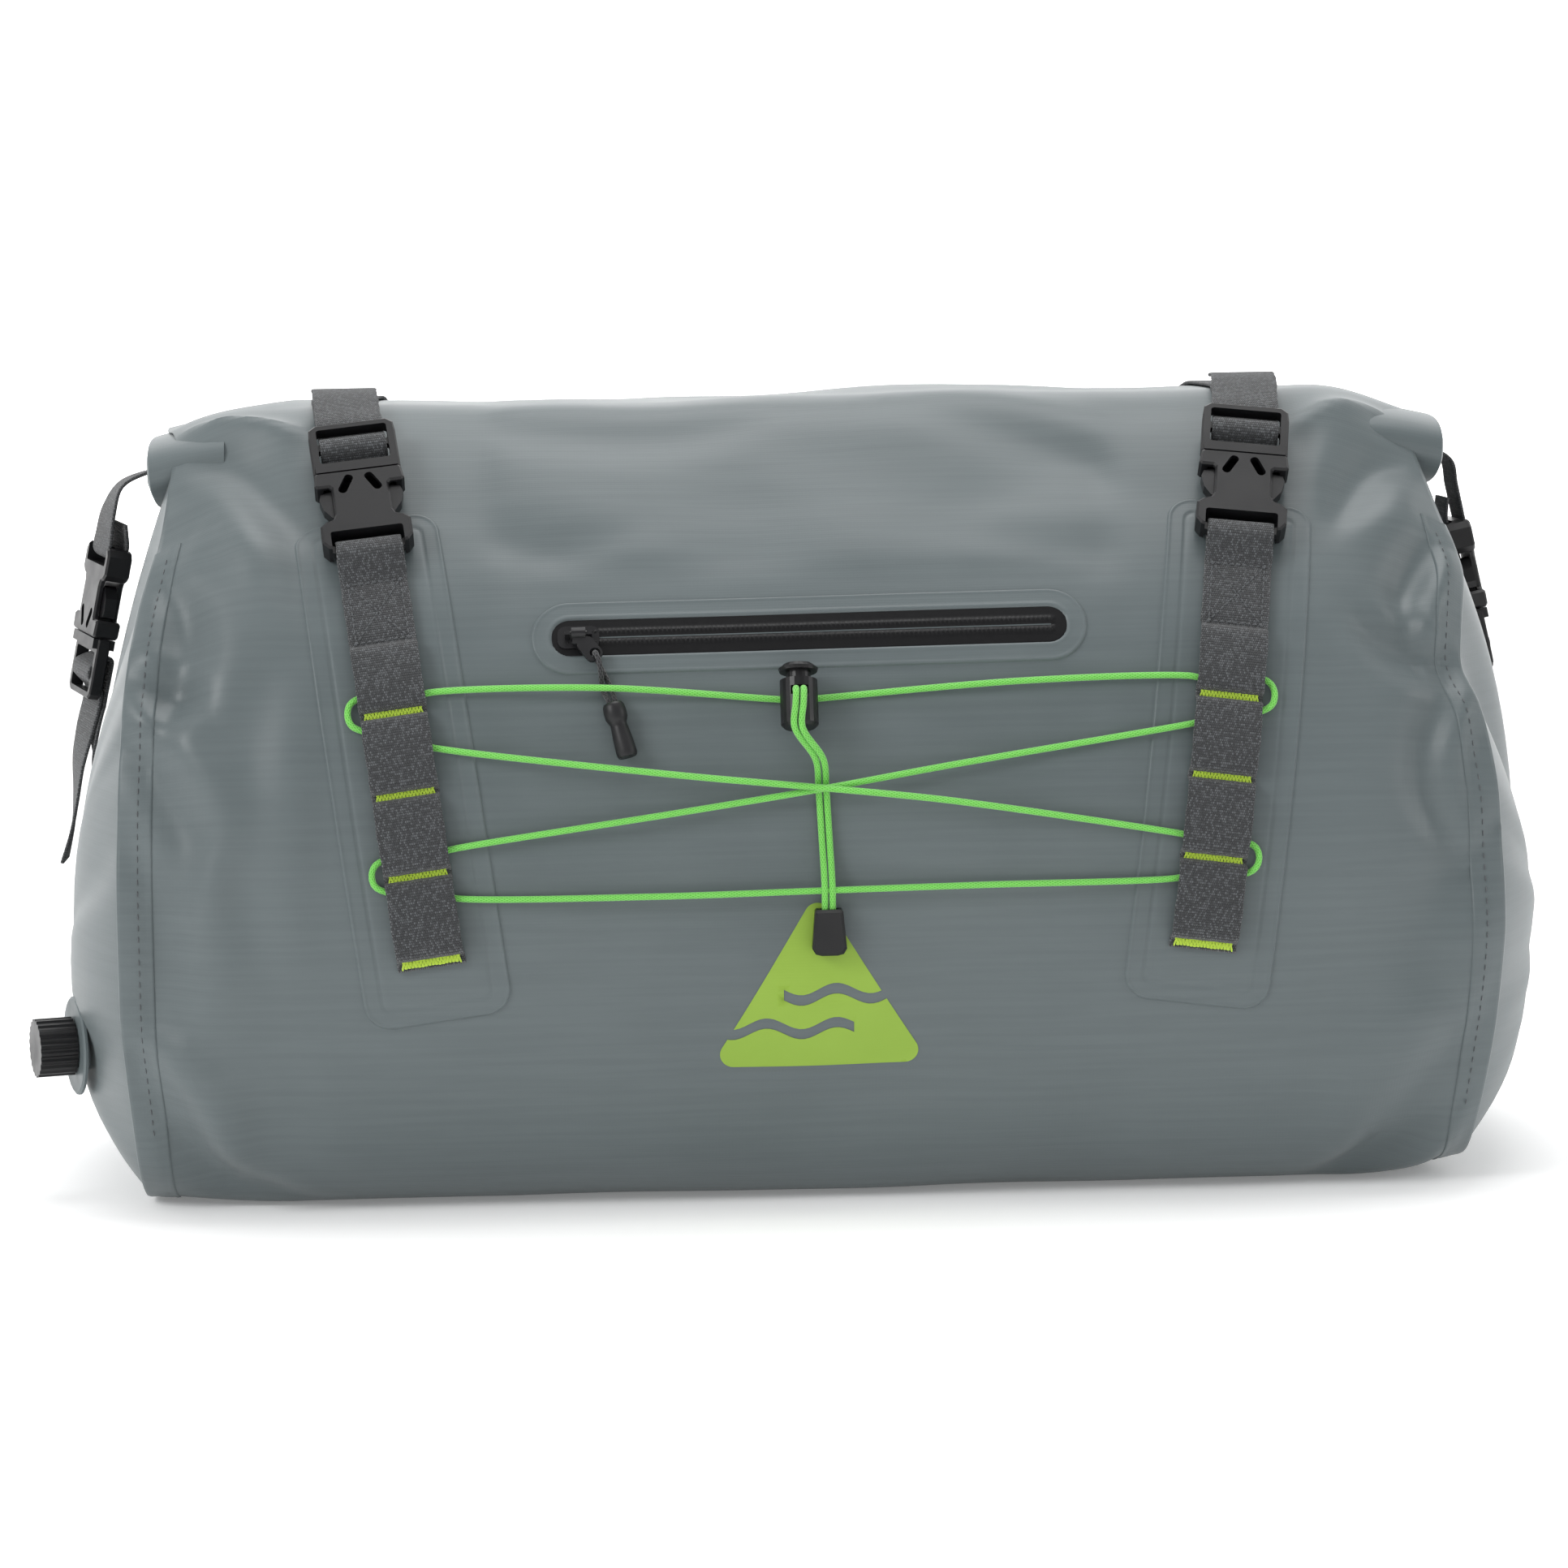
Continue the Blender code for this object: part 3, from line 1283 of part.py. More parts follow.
def valve_parts(panel):
    """Flanged neck through the end panel, a seal on its rim and a ribbed screw cap."""
    look = acetal()
    matrix = valve_frame()
    body = [
        (VALVE_BORE, -0.0100),
        (0.0095, -0.0100),
        (0.0095, 0),
        (VALVE_FLANGE_RADIUS, 0),
        (VALVE_FLANGE_RADIUS, VALVE_FLANGE * 0.6),
        (VALVE_FLANGE_RADIUS - 0.001, VALVE_FLANGE),
        (NECK_RADIUS, VALVE_FLANGE),
        (NECK_RADIUS, VALVE_FLANGE + NECK_HEIGHT),
        (VALVE_BORE, VALVE_FLANGE + NECK_HEIGHT),
    ]
    grey = material("grey_valve", (0.10, 0.11, 0.115), 0.5)
    solid_from(lathe(body, 28), "valve_body", grey).matrix_world = matrix
    rim = VALVE_FLANGE + NECK_HEIGHT + GAP
    seal = [
        (VALVE_BORE, rim),
        (NECK_RADIUS - 0.0002, rim),
        (NECK_RADIUS - 0.0002, rim + SEAL_THICK),
        (VALVE_BORE, rim + SEAL_THICK),
    ]
    rubber = material("black_rubber", (0.012, 0.012, 0.012), 0.8)
    solid_from(lathe(seal, 24), "valve_seal", rubber).matrix_world = matrix
    ring = []
    for k in range(CAP_RIBS * 4):
        radius = CAP_RADIUS if k % 4 in (0, 1) else CAP_RADIUS - 0.0007
        angle = math.tau * k / (CAP_RIBS * 4)
        ring.append((radius * math.cos(angle), radius * math.sin(angle)))
    low = VALVE_FLANGE + 0.0006
    cap = solid_from(prism(ring, low, low + CAP_HEIGHT), "valve_cap", look)
    inner = cylinder(NECK_RADIUS + GAP + 0.0002, low - 0.001, rim + SEAL_THICK + GAP, 28)
    combine(cap, helper(inner), "DIFFERENCE")
    place(cap, matrix)
    hole = helper(cylinder(0.0102, -0.02, 0.004, 28), matrix)
    combine(panel, hole, "DIFFERENCE")


# Bungee lace, cord lock and cord end


def laced(x, height, stand):
    return skin(x, s_at(height), stand)


def hand_turn(side, tack, spread_in, spread_out):
    """The cord's turn round a strap's tack: under the strap, round outside it and back under."""
    centre = strap_x(tack)
    under = 3 * GAP + PATCH_FABRIC + CORD / 2
    half = WEBBING_WIDTH / 2
    up = spread_in / abs(spread_in)
    low = 0.0058
    return [
        (side * (centre - half - 0.003), tack + spread_in * 1.16, under + 0.0004),
        (side * (centre - half + 0.004), tack + spread_in, under),
        (side * (centre + half - 0.002), tack + up * low * 1.04, under),
        (side * (centre + half + 0.0032), tack + up * low * 0.62, under + 0.0002),
        (side * (centre + half + 0.0044), tack - up * 0.0002, under + 0.0004),
        (side * (centre + half + 0.0030), tack - up * low * 0.70, under + 0.0002),
        (side * (centre + half - 0.002), tack - up * low * 1.10, under),
        (side * (centre - half + 0.004), tack - spread_out, under),
        (side * (centre - half - 0.003), tack - spread_out * 1.16, under + 0.0004),
    ]


def lace_route():
    """The whole lace, from one end in the cord end round both straps to the other."""
    beside = CORD / 2 + GAP / 2
    grip, lock = cord_end_frame(), lock_frame()
    front, back = LOCK_RADIUS + CORD / 2 + 3 * GAP, LOCK_RADIUS + CORD / 2 + 1.4 * GAP

    def tail(side):
        x = side * beside
        hanging = [(0.0034, 0.1420, 0.0021), (0.0026, 0.1580, 0.0034), (0.0016, 0.1680, 0.0092)]
        held = [
            (x - 0.0010, -front * 0.98, -LOCK_HALF - 0.0018),
            (x - 0.0004, -front - 0.0020, -LOCK_HALF * 0.3),
            (x, -front - 0.0010, HOLE_UP - 0.0014),
            (x, -front * 0.86, HOLE_UP),
            (x, 0, HOLE_UP),
            (x, LOCK_RADIUS * 0.74, HOLE_UP),
            (x + side * 0.0014, back * 0.95, HOLE_UP),
            (x + side * 0.0085, back, HOLE_UP + 0.0006),
        ]
        return [
            grip @ Vector((x, 0.0030, 0)),
            grip @ Vector((x, 0.0100, 0)),
            grip @ Vector((x, 0.0170, -0.0002)),
            *(laced(middle + x, height, stand) for middle, height, stand in hanging),
            *(lock @ Vector(point) for point in held),
        ]

    upper, lower = TACK_HEIGHTS[3], TACK_HEIGHTS[1]
    left_top = hand_turn(-1, upper, 0.0062, 0.0110)
    right_low = hand_turn(1, lower, 0.0085, 0.0062)
    left_low = hand_turn(-1, lower, -0.0075, -0.0085)
    right_top = hand_turn(1, upper, -0.0085, -0.0064)
    route = tail(-1)
    route += [(-0.0780, 0.1952, 0.0056)] + left_top
    route += [(-0.0500, 0.1638, 0.0080), (0.0030, 0.1582, 0.0092), (0.0500, 0.1528, 0.0078)] + right_low
    route += [(0.0600, 0.1222, 0.0046), (0.0040, 0.1214, 0.0050), (-0.0600, 0.1206, 0.0046)] + left_low
    route += [(-0.0500, 0.1508, 0.0050), (0.0030, 0.1582, 0.0063), (0.0500, 0.1656, 0.0050)] + right_top
    route += [(0.0780, 0.1952, 0.0036)] + tail(1)[::-1]
    return [point if isinstance(point, Vector) else laced(*point) for point in route]


def lock_frame():
    up, out = skin_axes(s_at(LOCK_HEIGHT))
    return frame(skin(LOCK_X, s_at(LOCK_HEIGHT), LOCK_STAND), up.cross(out), -out, up)


def cord_lock():
    """Barrel with a cross hole, a sprung button in it with a longer one, and the spring."""
    matrix = lock_frame()
    bore = 0.0050
    profile = [
        (0, -LOCK_HALF),
        (LOCK_RADIUS - 0.0012, -LOCK_HALF),
        (LOCK_RADIUS, -LOCK_HALF + 0.0012),
        (LOCK_RADIUS, LOCK_HALF),
        (bore, LOCK_HALF),
        (bore, -LOCK_HALF + 0.0020),
        (0, -LOCK_HALF + 0.0020),
    ]
    barrel = solid_from(lathe(profile, 24, close=False), "cord_lock_barrel", acetal())
    wide, tall = 2 * CORD + 4.8 * GAP, CORD + 3 * GAP
    hole = boxed((-wide / 2, -0.02, HOLE_UP - tall / 2), (wide / 2, 0.02, HOLE_UP + tall / 2))
    combine(barrel, helper(hole), "DIFFERENCE")
    place(barrel, matrix)
    stem = bore - GAP - 0.0001
    cap_low = LOCK_HALF + BUTTON_TRAVEL + GAP
    profile = [
        (0, -0.0010),
        (stem, -0.0010),
        (stem, cap_low),
        (LOCK_RADIUS, cap_low),
        (LOCK_RADIUS + 0.0004, cap_low + 0.0012),
        (LOCK_RADIUS - 0.0016, cap_low + 0.0028),
        (0, cap_low + 0.0034),
    ]
    button = solid_from(lathe(profile, 24, close=False), "cord_lock_button", acetal())
    slot = boxed((-wide / 2, -0.02, HOLE_UP - tall / 2), (wide / 2, 0.02, HOLE_UP + tall / 2 + BUTTON_TRAVEL))
    combine(button, helper(slot), "DIFFERENCE")
    place(button, matrix)
    low, high = -LOCK_HALF + 0.0020 + 2 * GAP, -0.0010 - 2 * GAP
    wire, coil, turns, facets = 0.0006, 0.0036, 3, 9
    spring = []
    for k in range(turns * facets + 1):
        angle = math.tau * k / facets
        height = low + wire / 2 + (high - low - wire) * k / (turns * facets)
        spring.append(matrix @ Vector((coil * math.cos(angle), coil * math.sin(angle), height)))
    tube("cord_lock_spring", spring, wire, material("spring_steel", (0.55, 0.55, 0.55), 0.3, 1.0))


def cord_end_frame():
    up, out = skin_axes(s_at(CORD_END_HEIGHT))
    return frame(skin(CORD_END_X, s_at(CORD_END_HEIGHT), CORD_END_STAND), X, up, out)


def cord_end_grip():
    """A moulded grip on the two ends of the lace."""
    outline = [(0.0046, 0.0086), (0.0052, 0.0078), (0.0064, -0.0060), (0.0052, -0.0080), (0.0030, -0.0086)]
    outline = outline + [(-x, y) for x, y in outline[::-1]]
    body = solid_from(prism(outline, -0.0034, 0.0034), "cord_end", acetal())
    bmesh_bevel(body, 0.0010)
    wide, tall = CORD + 2 * GAP, CORD / 2 + 2.2 * GAP
    hole = boxed((-wide, 0.0020, -tall), (wide, 0.0120, tall))
    combine(body, helper(hole), "DIFFERENCE")
    place(body, cord_end_frame())
    return body


def emblem():
    """A printed peak with two waves cut into it, one from each side."""
    half_width, half_height, corner = EMBLEM_WIDTH / 2, EMBLEM_TALL / 2, 0.005
    outline = []
    corners = [(0, half_height - corner), (-half_width + corner, corner - half_height)]
    corners.append((half_width - corner, corner - half_height))
    slope = math.atan2(EMBLEM_TALL - 2 * corner, half_width - corner)
    starts = (math.pi / 2 - slope, math.pi / 2 + slope, -math.pi / 2)
    sweeps = (2 * slope, math.pi - slope, math.pi - slope)
    for (x, y), start, sweep in zip(corners, starts, sweeps):
        for k in range(7):
            angle = start + sweep * k / 6
            outline.append((x + corner * math.cos(angle), y + corner * math.sin(angle)))
    body = solid_from(prism(outline, -0.001, 0.001), "print", lime())
    for side, level in ((1, -0.003), (-1, -0.016)):
        wave = []
        for k in range(15):
            x = side * (EMBLEM_KEEP + EMBLEM_WIDTH * k / 14 - half_width)
            wave.append((x, level + EMBLEM_WAVE * math.sin(math.tau * x / EMBLEM_WAVE_LENGTH)))
        low = [(x, y - EMBLEM_CUT / 2) for x, y in wave]
        cutter = prism(low + [(x, y + EMBLEM_CUT / 2) for x, y in wave[::-1]], -0.01, 0.01)
        combine(body, helper(cutter), "DIFFERENCE")
    mesh = finished_mesh(body, "emblem")
    work = bmesh.new()
    work.from_mesh(mesh)
    centre = s_at(EMBLEM_HEIGHT)
    for vert in work.verts:
        vert.co.y += centre
        vert.co.z = GAP if vert.co.z < 0 else GAP + EMBLEM_THICK
    return laid_flat(work, "emblem", material("lime_print", (0.38, 0.60, 0.045), 0.5), -1, 1)


def build():
    clear_scene()
    wrap_panel()
    left = end_panel("end_panel_left", -1)
    end_panel("end_panel_right", 1)
    seam_tape("seam_tape_left", -1)
    seam_tape("seam_tape_right", 1)
    roll_closure()
    roll_stiffener()
    for name, side in (("left", -1), ("right", 1)):
        strap_patch(f"front_patch_{name}", side, 1)
        strap_patch(f"rear_patch_{name}", side, -1)
    zip_patch()
    zip_tape("zip_tape_upper", 1)
    zip_tape("zip_tape_lower", -1)
    zip_coil("zip_coil_upper", 1)
    zip_coil("zip_coil_lower", -1)
    zip_slider()
    zip_pull_tab()
    puller_cord()
    puller_grip()
    pocket_liner()
    buckles()
    frames = buckle_frames()
    for name, side in (("left", -1), ("right", 1)):
        daisy_strap(f"daisy_strap_{name}", side, frames[f"front_{name}"])
        top_strap(f"top_strap_{name}", side, frames[f"front_{name}"])
        end_tab(f"end_tab_{name}", side, frames[f"{name}_end"])
        end_strap(f"end_strap_{name}", side, frames[f"{name}_end"])
    valve_parts(left)
    tube("bungee_lace", smooth_route(lace_route(), 80), CORD, lime())
    cord_lock()
    cord_end_grip()
    emblem()


build()
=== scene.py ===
# Roll-top dry bag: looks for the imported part. Metres, the bag stands on z = 0, front faces -Y.
import math

import bmesh
import bpy
import numpy as np
from mathutils import Matrix, Vector


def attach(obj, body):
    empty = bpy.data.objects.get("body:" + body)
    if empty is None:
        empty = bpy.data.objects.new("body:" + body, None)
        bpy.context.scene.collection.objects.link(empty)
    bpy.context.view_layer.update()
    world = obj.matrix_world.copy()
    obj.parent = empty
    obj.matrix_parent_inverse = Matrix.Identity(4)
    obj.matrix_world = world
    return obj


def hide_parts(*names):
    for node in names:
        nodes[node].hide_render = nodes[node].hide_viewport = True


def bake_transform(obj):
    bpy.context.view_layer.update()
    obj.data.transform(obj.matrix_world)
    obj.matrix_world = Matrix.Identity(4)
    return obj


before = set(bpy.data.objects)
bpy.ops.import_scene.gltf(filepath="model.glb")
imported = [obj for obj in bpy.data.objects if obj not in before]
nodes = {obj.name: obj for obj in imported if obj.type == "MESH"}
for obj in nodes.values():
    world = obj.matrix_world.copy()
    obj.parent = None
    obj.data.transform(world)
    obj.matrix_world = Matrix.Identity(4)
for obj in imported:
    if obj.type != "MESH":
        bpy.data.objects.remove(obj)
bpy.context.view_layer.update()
print("frame loaded")


# camera

camera = {"target": (-0.0116, -0.148, 0.161), "distance": 1.8, "azimuth": -2.4, "elevation": 6.0,
          "roll": -1.0, "lens": 112.0}


def makeCamera():
    az, el = math.radians(camera["azimuth"]), math.radians(camera["elevation"])
    target = Vector(camera["target"])
    way = Vector((math.sin(az) * math.cos(el), -math.cos(az) * math.cos(el), math.sin(el)))
    data = bpy.data.cameras.new("camera")
    data.lens = camera["lens"]
    data.sensor_width = 36
    cam = bpy.data.objects.new("camera", data)
    look = (-way).to_track_quat("-Z", "Y").to_matrix().to_4x4()
    cam.matrix_world = (Matrix.Translation(target + way * camera["distance"]) @ look
                        @ Matrix.Rotation(math.radians(camera["roll"]), 4, "Z"))
    bpy.context.scene.collection.objects.link(cam)
    bpy.context.scene.camera = cam


makeCamera()


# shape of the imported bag: the section is a path (y, z) from the fold behind the roll, down the rear,
# under the base, up the front and over the roll. s is the way along it, 0 in the middle of the base.

bag = {"baseReach": 0.092, "bellyReach": 0.148, "bellyHeight": 0.108, "shoulderReach": 0.090,
       "shoulderHeight": 0.2605, "halfLength": 0.257, "straightHalf": 0.195, "endShrink": 0.10,
       "centreHeight": 0.130, "endLift": 0.03, "bulge": 0.030, "hubHeight": 0.085,
       "rollHalfLength": 0.250, "rollReach": 0.066, "rollHalf": 0.0175, "rollHeight": 0.2830,
       "rollDroop": 0.009}
gap = 0.0003
patchFabric = 0.0006
webThick = 0.0014
webWidth = 0.025


def bezier(a, b, c, d, count):
    t = np.linspace(0, 1, count + 1)[1:, None]
    a, b, c, d = (np.array(p, float) for p in (a, b, c, d))
    return (1 - t) ** 3 * a + 3 * (1 - t) ** 2 * t * b + 3 * (1 - t) * t * t * c + t**3 * d


def frontCurve():
    base, reach, height = bag["baseReach"], bag["bellyReach"], bag["bellyHeight"]
    shoulder, top = bag["shoulderReach"], bag["shoulderHeight"]
    rise = top - height
    flat = np.stack([-np.linspace(0, base, 60), np.zeros(60)], axis=1)
    low = bezier((-base, 0), (-base - 0.77 * (reach - base), 0), (-reach, 0.46 * height),
                 (-reach, height), 120)
    up = bezier((-reach, height), (-reach, height + 0.505 * rise),
                (-shoulder - 0.60 * (reach - shoulder), height + 0.767 * rise), (-shoulder, top), 150)
    return np.concatenate([flat, low, up])


def rollCurve():
    over = bezier((-0.090, 0.2605), (-0.0690, 0.2835), (-0.0560, 0.3005), (-0.0300, 0.3006), 70)
    back = bezier((0.0300, 0.3004), (0.0580, 0.3004), (0.0668, 0.2930), (0.0664, 0.2825), 40)
    under = bezier((0.0664, 0.2825), (0.0660, 0.2720), (0.0560, 0.2668), (0.0340, 0.2662), 40)
    top = np.stack([np.linspace(-0.0300, 0.0300, 31)[1:], np.linspace(0.3006, 0.3004, 30)], axis=1)
    return np.concatenate([over, top, back, under])


def rearTop():
    return bezier((0.0340, 0.2645), (0.0600, 0.2665), (0.0790, 0.2695), (0.0900, 0.2605), 50)


front = frontCurve()
path = np.concatenate([[(0.0340, 0.2645)], rearTop(), (front * (-1, 1))[::-1][1:], front[1:], rollCurve()])
steps = np.linalg.norm(np.diff(path, axis=0), axis=1)
pathS = np.concatenate([[0], np.cumsum(steps)])
pathS -= pathS[51 + len(front) - 2]
along = np.gradient(path, pathS, axis=0)
along /= np.linalg.norm(along, axis=1)[:, None]
pathOut = np.stack([-along[:, 1], along[:, 0]], axis=1)
frontEnd = pathS[51 + 2 * (len(front) - 1) - 1]  # s at the front shoulder
frontZ = front[:, 1] + np.arange(len(front)) * 1e-9
frontS = np.concatenate([[0], np.cumsum(np.linalg.norm(np.diff(front, axis=0), axis=1))])


def sAt(height):
    return float(np.interp(height, frontZ, frontS))


# how far out the end seam lies, by height on the front (2 + s once it is over the roll) and on the rear
seams = {
    -1: [(0.0, 0.2515), (0.03, 0.2560), (0.07, 0.2590), (0.13, 0.2585), (0.17, 0.2572), (0.21, 0.2545),
         (0.24, 0.2500), (0.2600, 0.2450),
         (2.418, 0.2415), (2.446, 0.2385), (2.478, 0.2440), (2.53, 0.2485), (2.62, 0.2485)],
    1: [(0.0, 0.2440), (0.02, 0.2500), (0.06, 0.2560), (0.10, 0.2580), (0.15, 0.2570), (0.183, 0.2520),
        (0.203, 0.2445), (0.220, 0.2465),
        (0.240, 0.2500), (0.2600, 0.2455), (2.418, 0.2410), (2.446, 0.2350), (2.478, 0.2410),
        (2.53, 0.2485), (2.62, 0.2485)],
}
rearSeam = [(0.05, 0.2560), (0.13, 0.2570), (0.20, 0.2545), (0.2600, 0.2470)]


def seamReach(side, s):
    places = [(sOf(z), x) for z, x in seams[side]]
    rear = [(-sAt(z), x) for z, x in rearSeam[::-1]]
    knots = rear + places
    dense = np.linspace(knots[0][0], knots[-1][0], 400)
    rough = np.interp(dense, [k[0] for k in knots], [k[1] for k in knots])
    kernel = np.hanning(13)[1:-1]
    soft = np.convolve(np.pad(rough, 5, mode="edge"), kernel / kernel.sum(), mode="valid")
    return np.interp(s, dense, soft)


def smooth(t):
    t = np.clip(t, 0, 1)
    return t * t * (3 - 2 * t)


# soft relief of the filled bag: dents and folds drawn as strokes on (x, s), and a slow swell

# points at an even step along a smooth curve through the given ones
def smoothLine(points, step):
    points = [Vector(p) for p in points]
    padded = [2 * points[0] - points[1], *points, 2 * points[-1] - points[-2]]
    fine, where = [], []
    for i, (a, b, c, d) in enumerate(zip(padded, padded[1:], padded[2:], padded[3:])):
        gaps = [max(1e-6, (q - p).length ** 0.5) for p, q in ((a, b), (b, c), (c, d))]
        first = ((b - a) / gaps[0] - (c - a) / (gaps[0] + gaps[1]) + (c - b) / gaps[1]) * gaps[1]
        second = ((c - b) / gaps[1] - (d - b) / (gaps[1] + gaps[2]) + (d - c) / gaps[2]) * gaps[1]
        for k in range(12):
            t = k / 12
            fine.append(b * (2 * t**3 - 3 * t**2 + 1) + first * (t**3 - 2 * t**2 + t)
                        + c * (3 * t**2 - 2 * t**3) + second * (t**3 - t**2))
            where.append(i + t)
    fine.append(points[-1])
    where.append(len(points) - 1)
    fine = np.array(fine)
    reach = np.concatenate([[0], np.cumsum(np.linalg.norm(np.diff(fine, axis=0), axis=1))])
    at = np.linspace(0, reach[-1], max(2, int(reach[-1] / step)))
    return np.stack([np.interp(at, reach, fine[:, i]) for i in range(3)], axis=1), np.interp(at, reach,
            where), at


swell = {"seed": 11, "waves": 16, "low": 16, "high": 62, "lift": 0.00022, "rate": 1.6, "atEnds": 1.0,
         "endsFrom": 0.17, "endsFade": 0.04}


# height of all strokes and of the swell over the smooth bag
def relief(x, s):
    x, s = (np.array(v, float) for v in np.broadcast_arrays(x, s))
    out = np.zeros(x.shape)
    for stroke in strokes:
        if "line" not in stroke:
            knots = [Vector((px, sOf(ph), 0)) for px, ph in stroke["points"]]
            stroke["line"] = smoothLine(knots, 0.006)[0][:, :2]
        line, width = stroke["line"], stroke["width"]
        low, high = line.min(axis=0) - 4 * width, line.max(axis=0) + 4 * width
        close = (x > low[0]) & (x < high[0]) & (s > low[1]) & (s < high[1])
        if not close.any():
            continue
        px, ps = x[close], s[close]
        best, where, sign = np.full(px.shape, 9.0), np.zeros(px.shape), np.zeros(px.shape)
        total = len(line) - 1
        for i, (a, d) in enumerate(zip(line, np.diff(line, axis=0))):
            t = np.clip(((px - a[0]) * d[0] + (ps - a[1]) * d[1]) / (d @ d), 0, 1)
            ex, es = px - a[0] - t * d[0], ps - a[1] - t * d[1]
            dist = np.hypot(ex, es)
            near = dist < best
            best = np.where(near, dist, best)
            where = np.where(near, (i + t) / total, where)
            sign = np.where(near, np.sign(d[0] * es - d[1] * ex), sign)
        r = best / (width * (0.55 + 0.45 * np.sin(np.pi * np.clip(where, 0.05, 0.95))))
        taper = np.sin(np.pi * np.clip(where * 0.94 + 0.03, 0, 1)) ** 0.8
        if stroke["kind"] == "fold":
            shape = np.exp(-((sign * r - 0.8) ** 2)) - np.exp(-((sign * r + 0.8) ** 2))
        elif stroke["kind"] == "ridge":
            shape = np.exp(-np.abs(r) ** 1.3 * 1.2)
        else:
            shape = -np.exp(-r * r) + 0.35 * np.exp(-((r - 1.9) ** 2))
        out[close] += stroke["depth"] * taper * shape
    rng = np.random.default_rng(swell["seed"])
    for _ in range(swell["waves"]):
        wave = rng.uniform(swell["low"], swell["high"])
        turn = rng.uniform(0, math.tau)
        phase = rng.uniform(0, math.tau)
        out += swell["lift"] * np.sin(wave * (x * math.cos(turn) + s * math.sin(turn)) * swell["rate"] + phase)
    return out * (1 + swell["atEnds"] * smooth((np.abs(x) - swell["endsFrom"]) / swell["endsFade"]))


# front heights are positive; a value above 1 is a way along the path itself
def sOf(height):
    if height > 1:
        return height - 2
    return sAt(height) if height >= 0 else -sAt(-height)


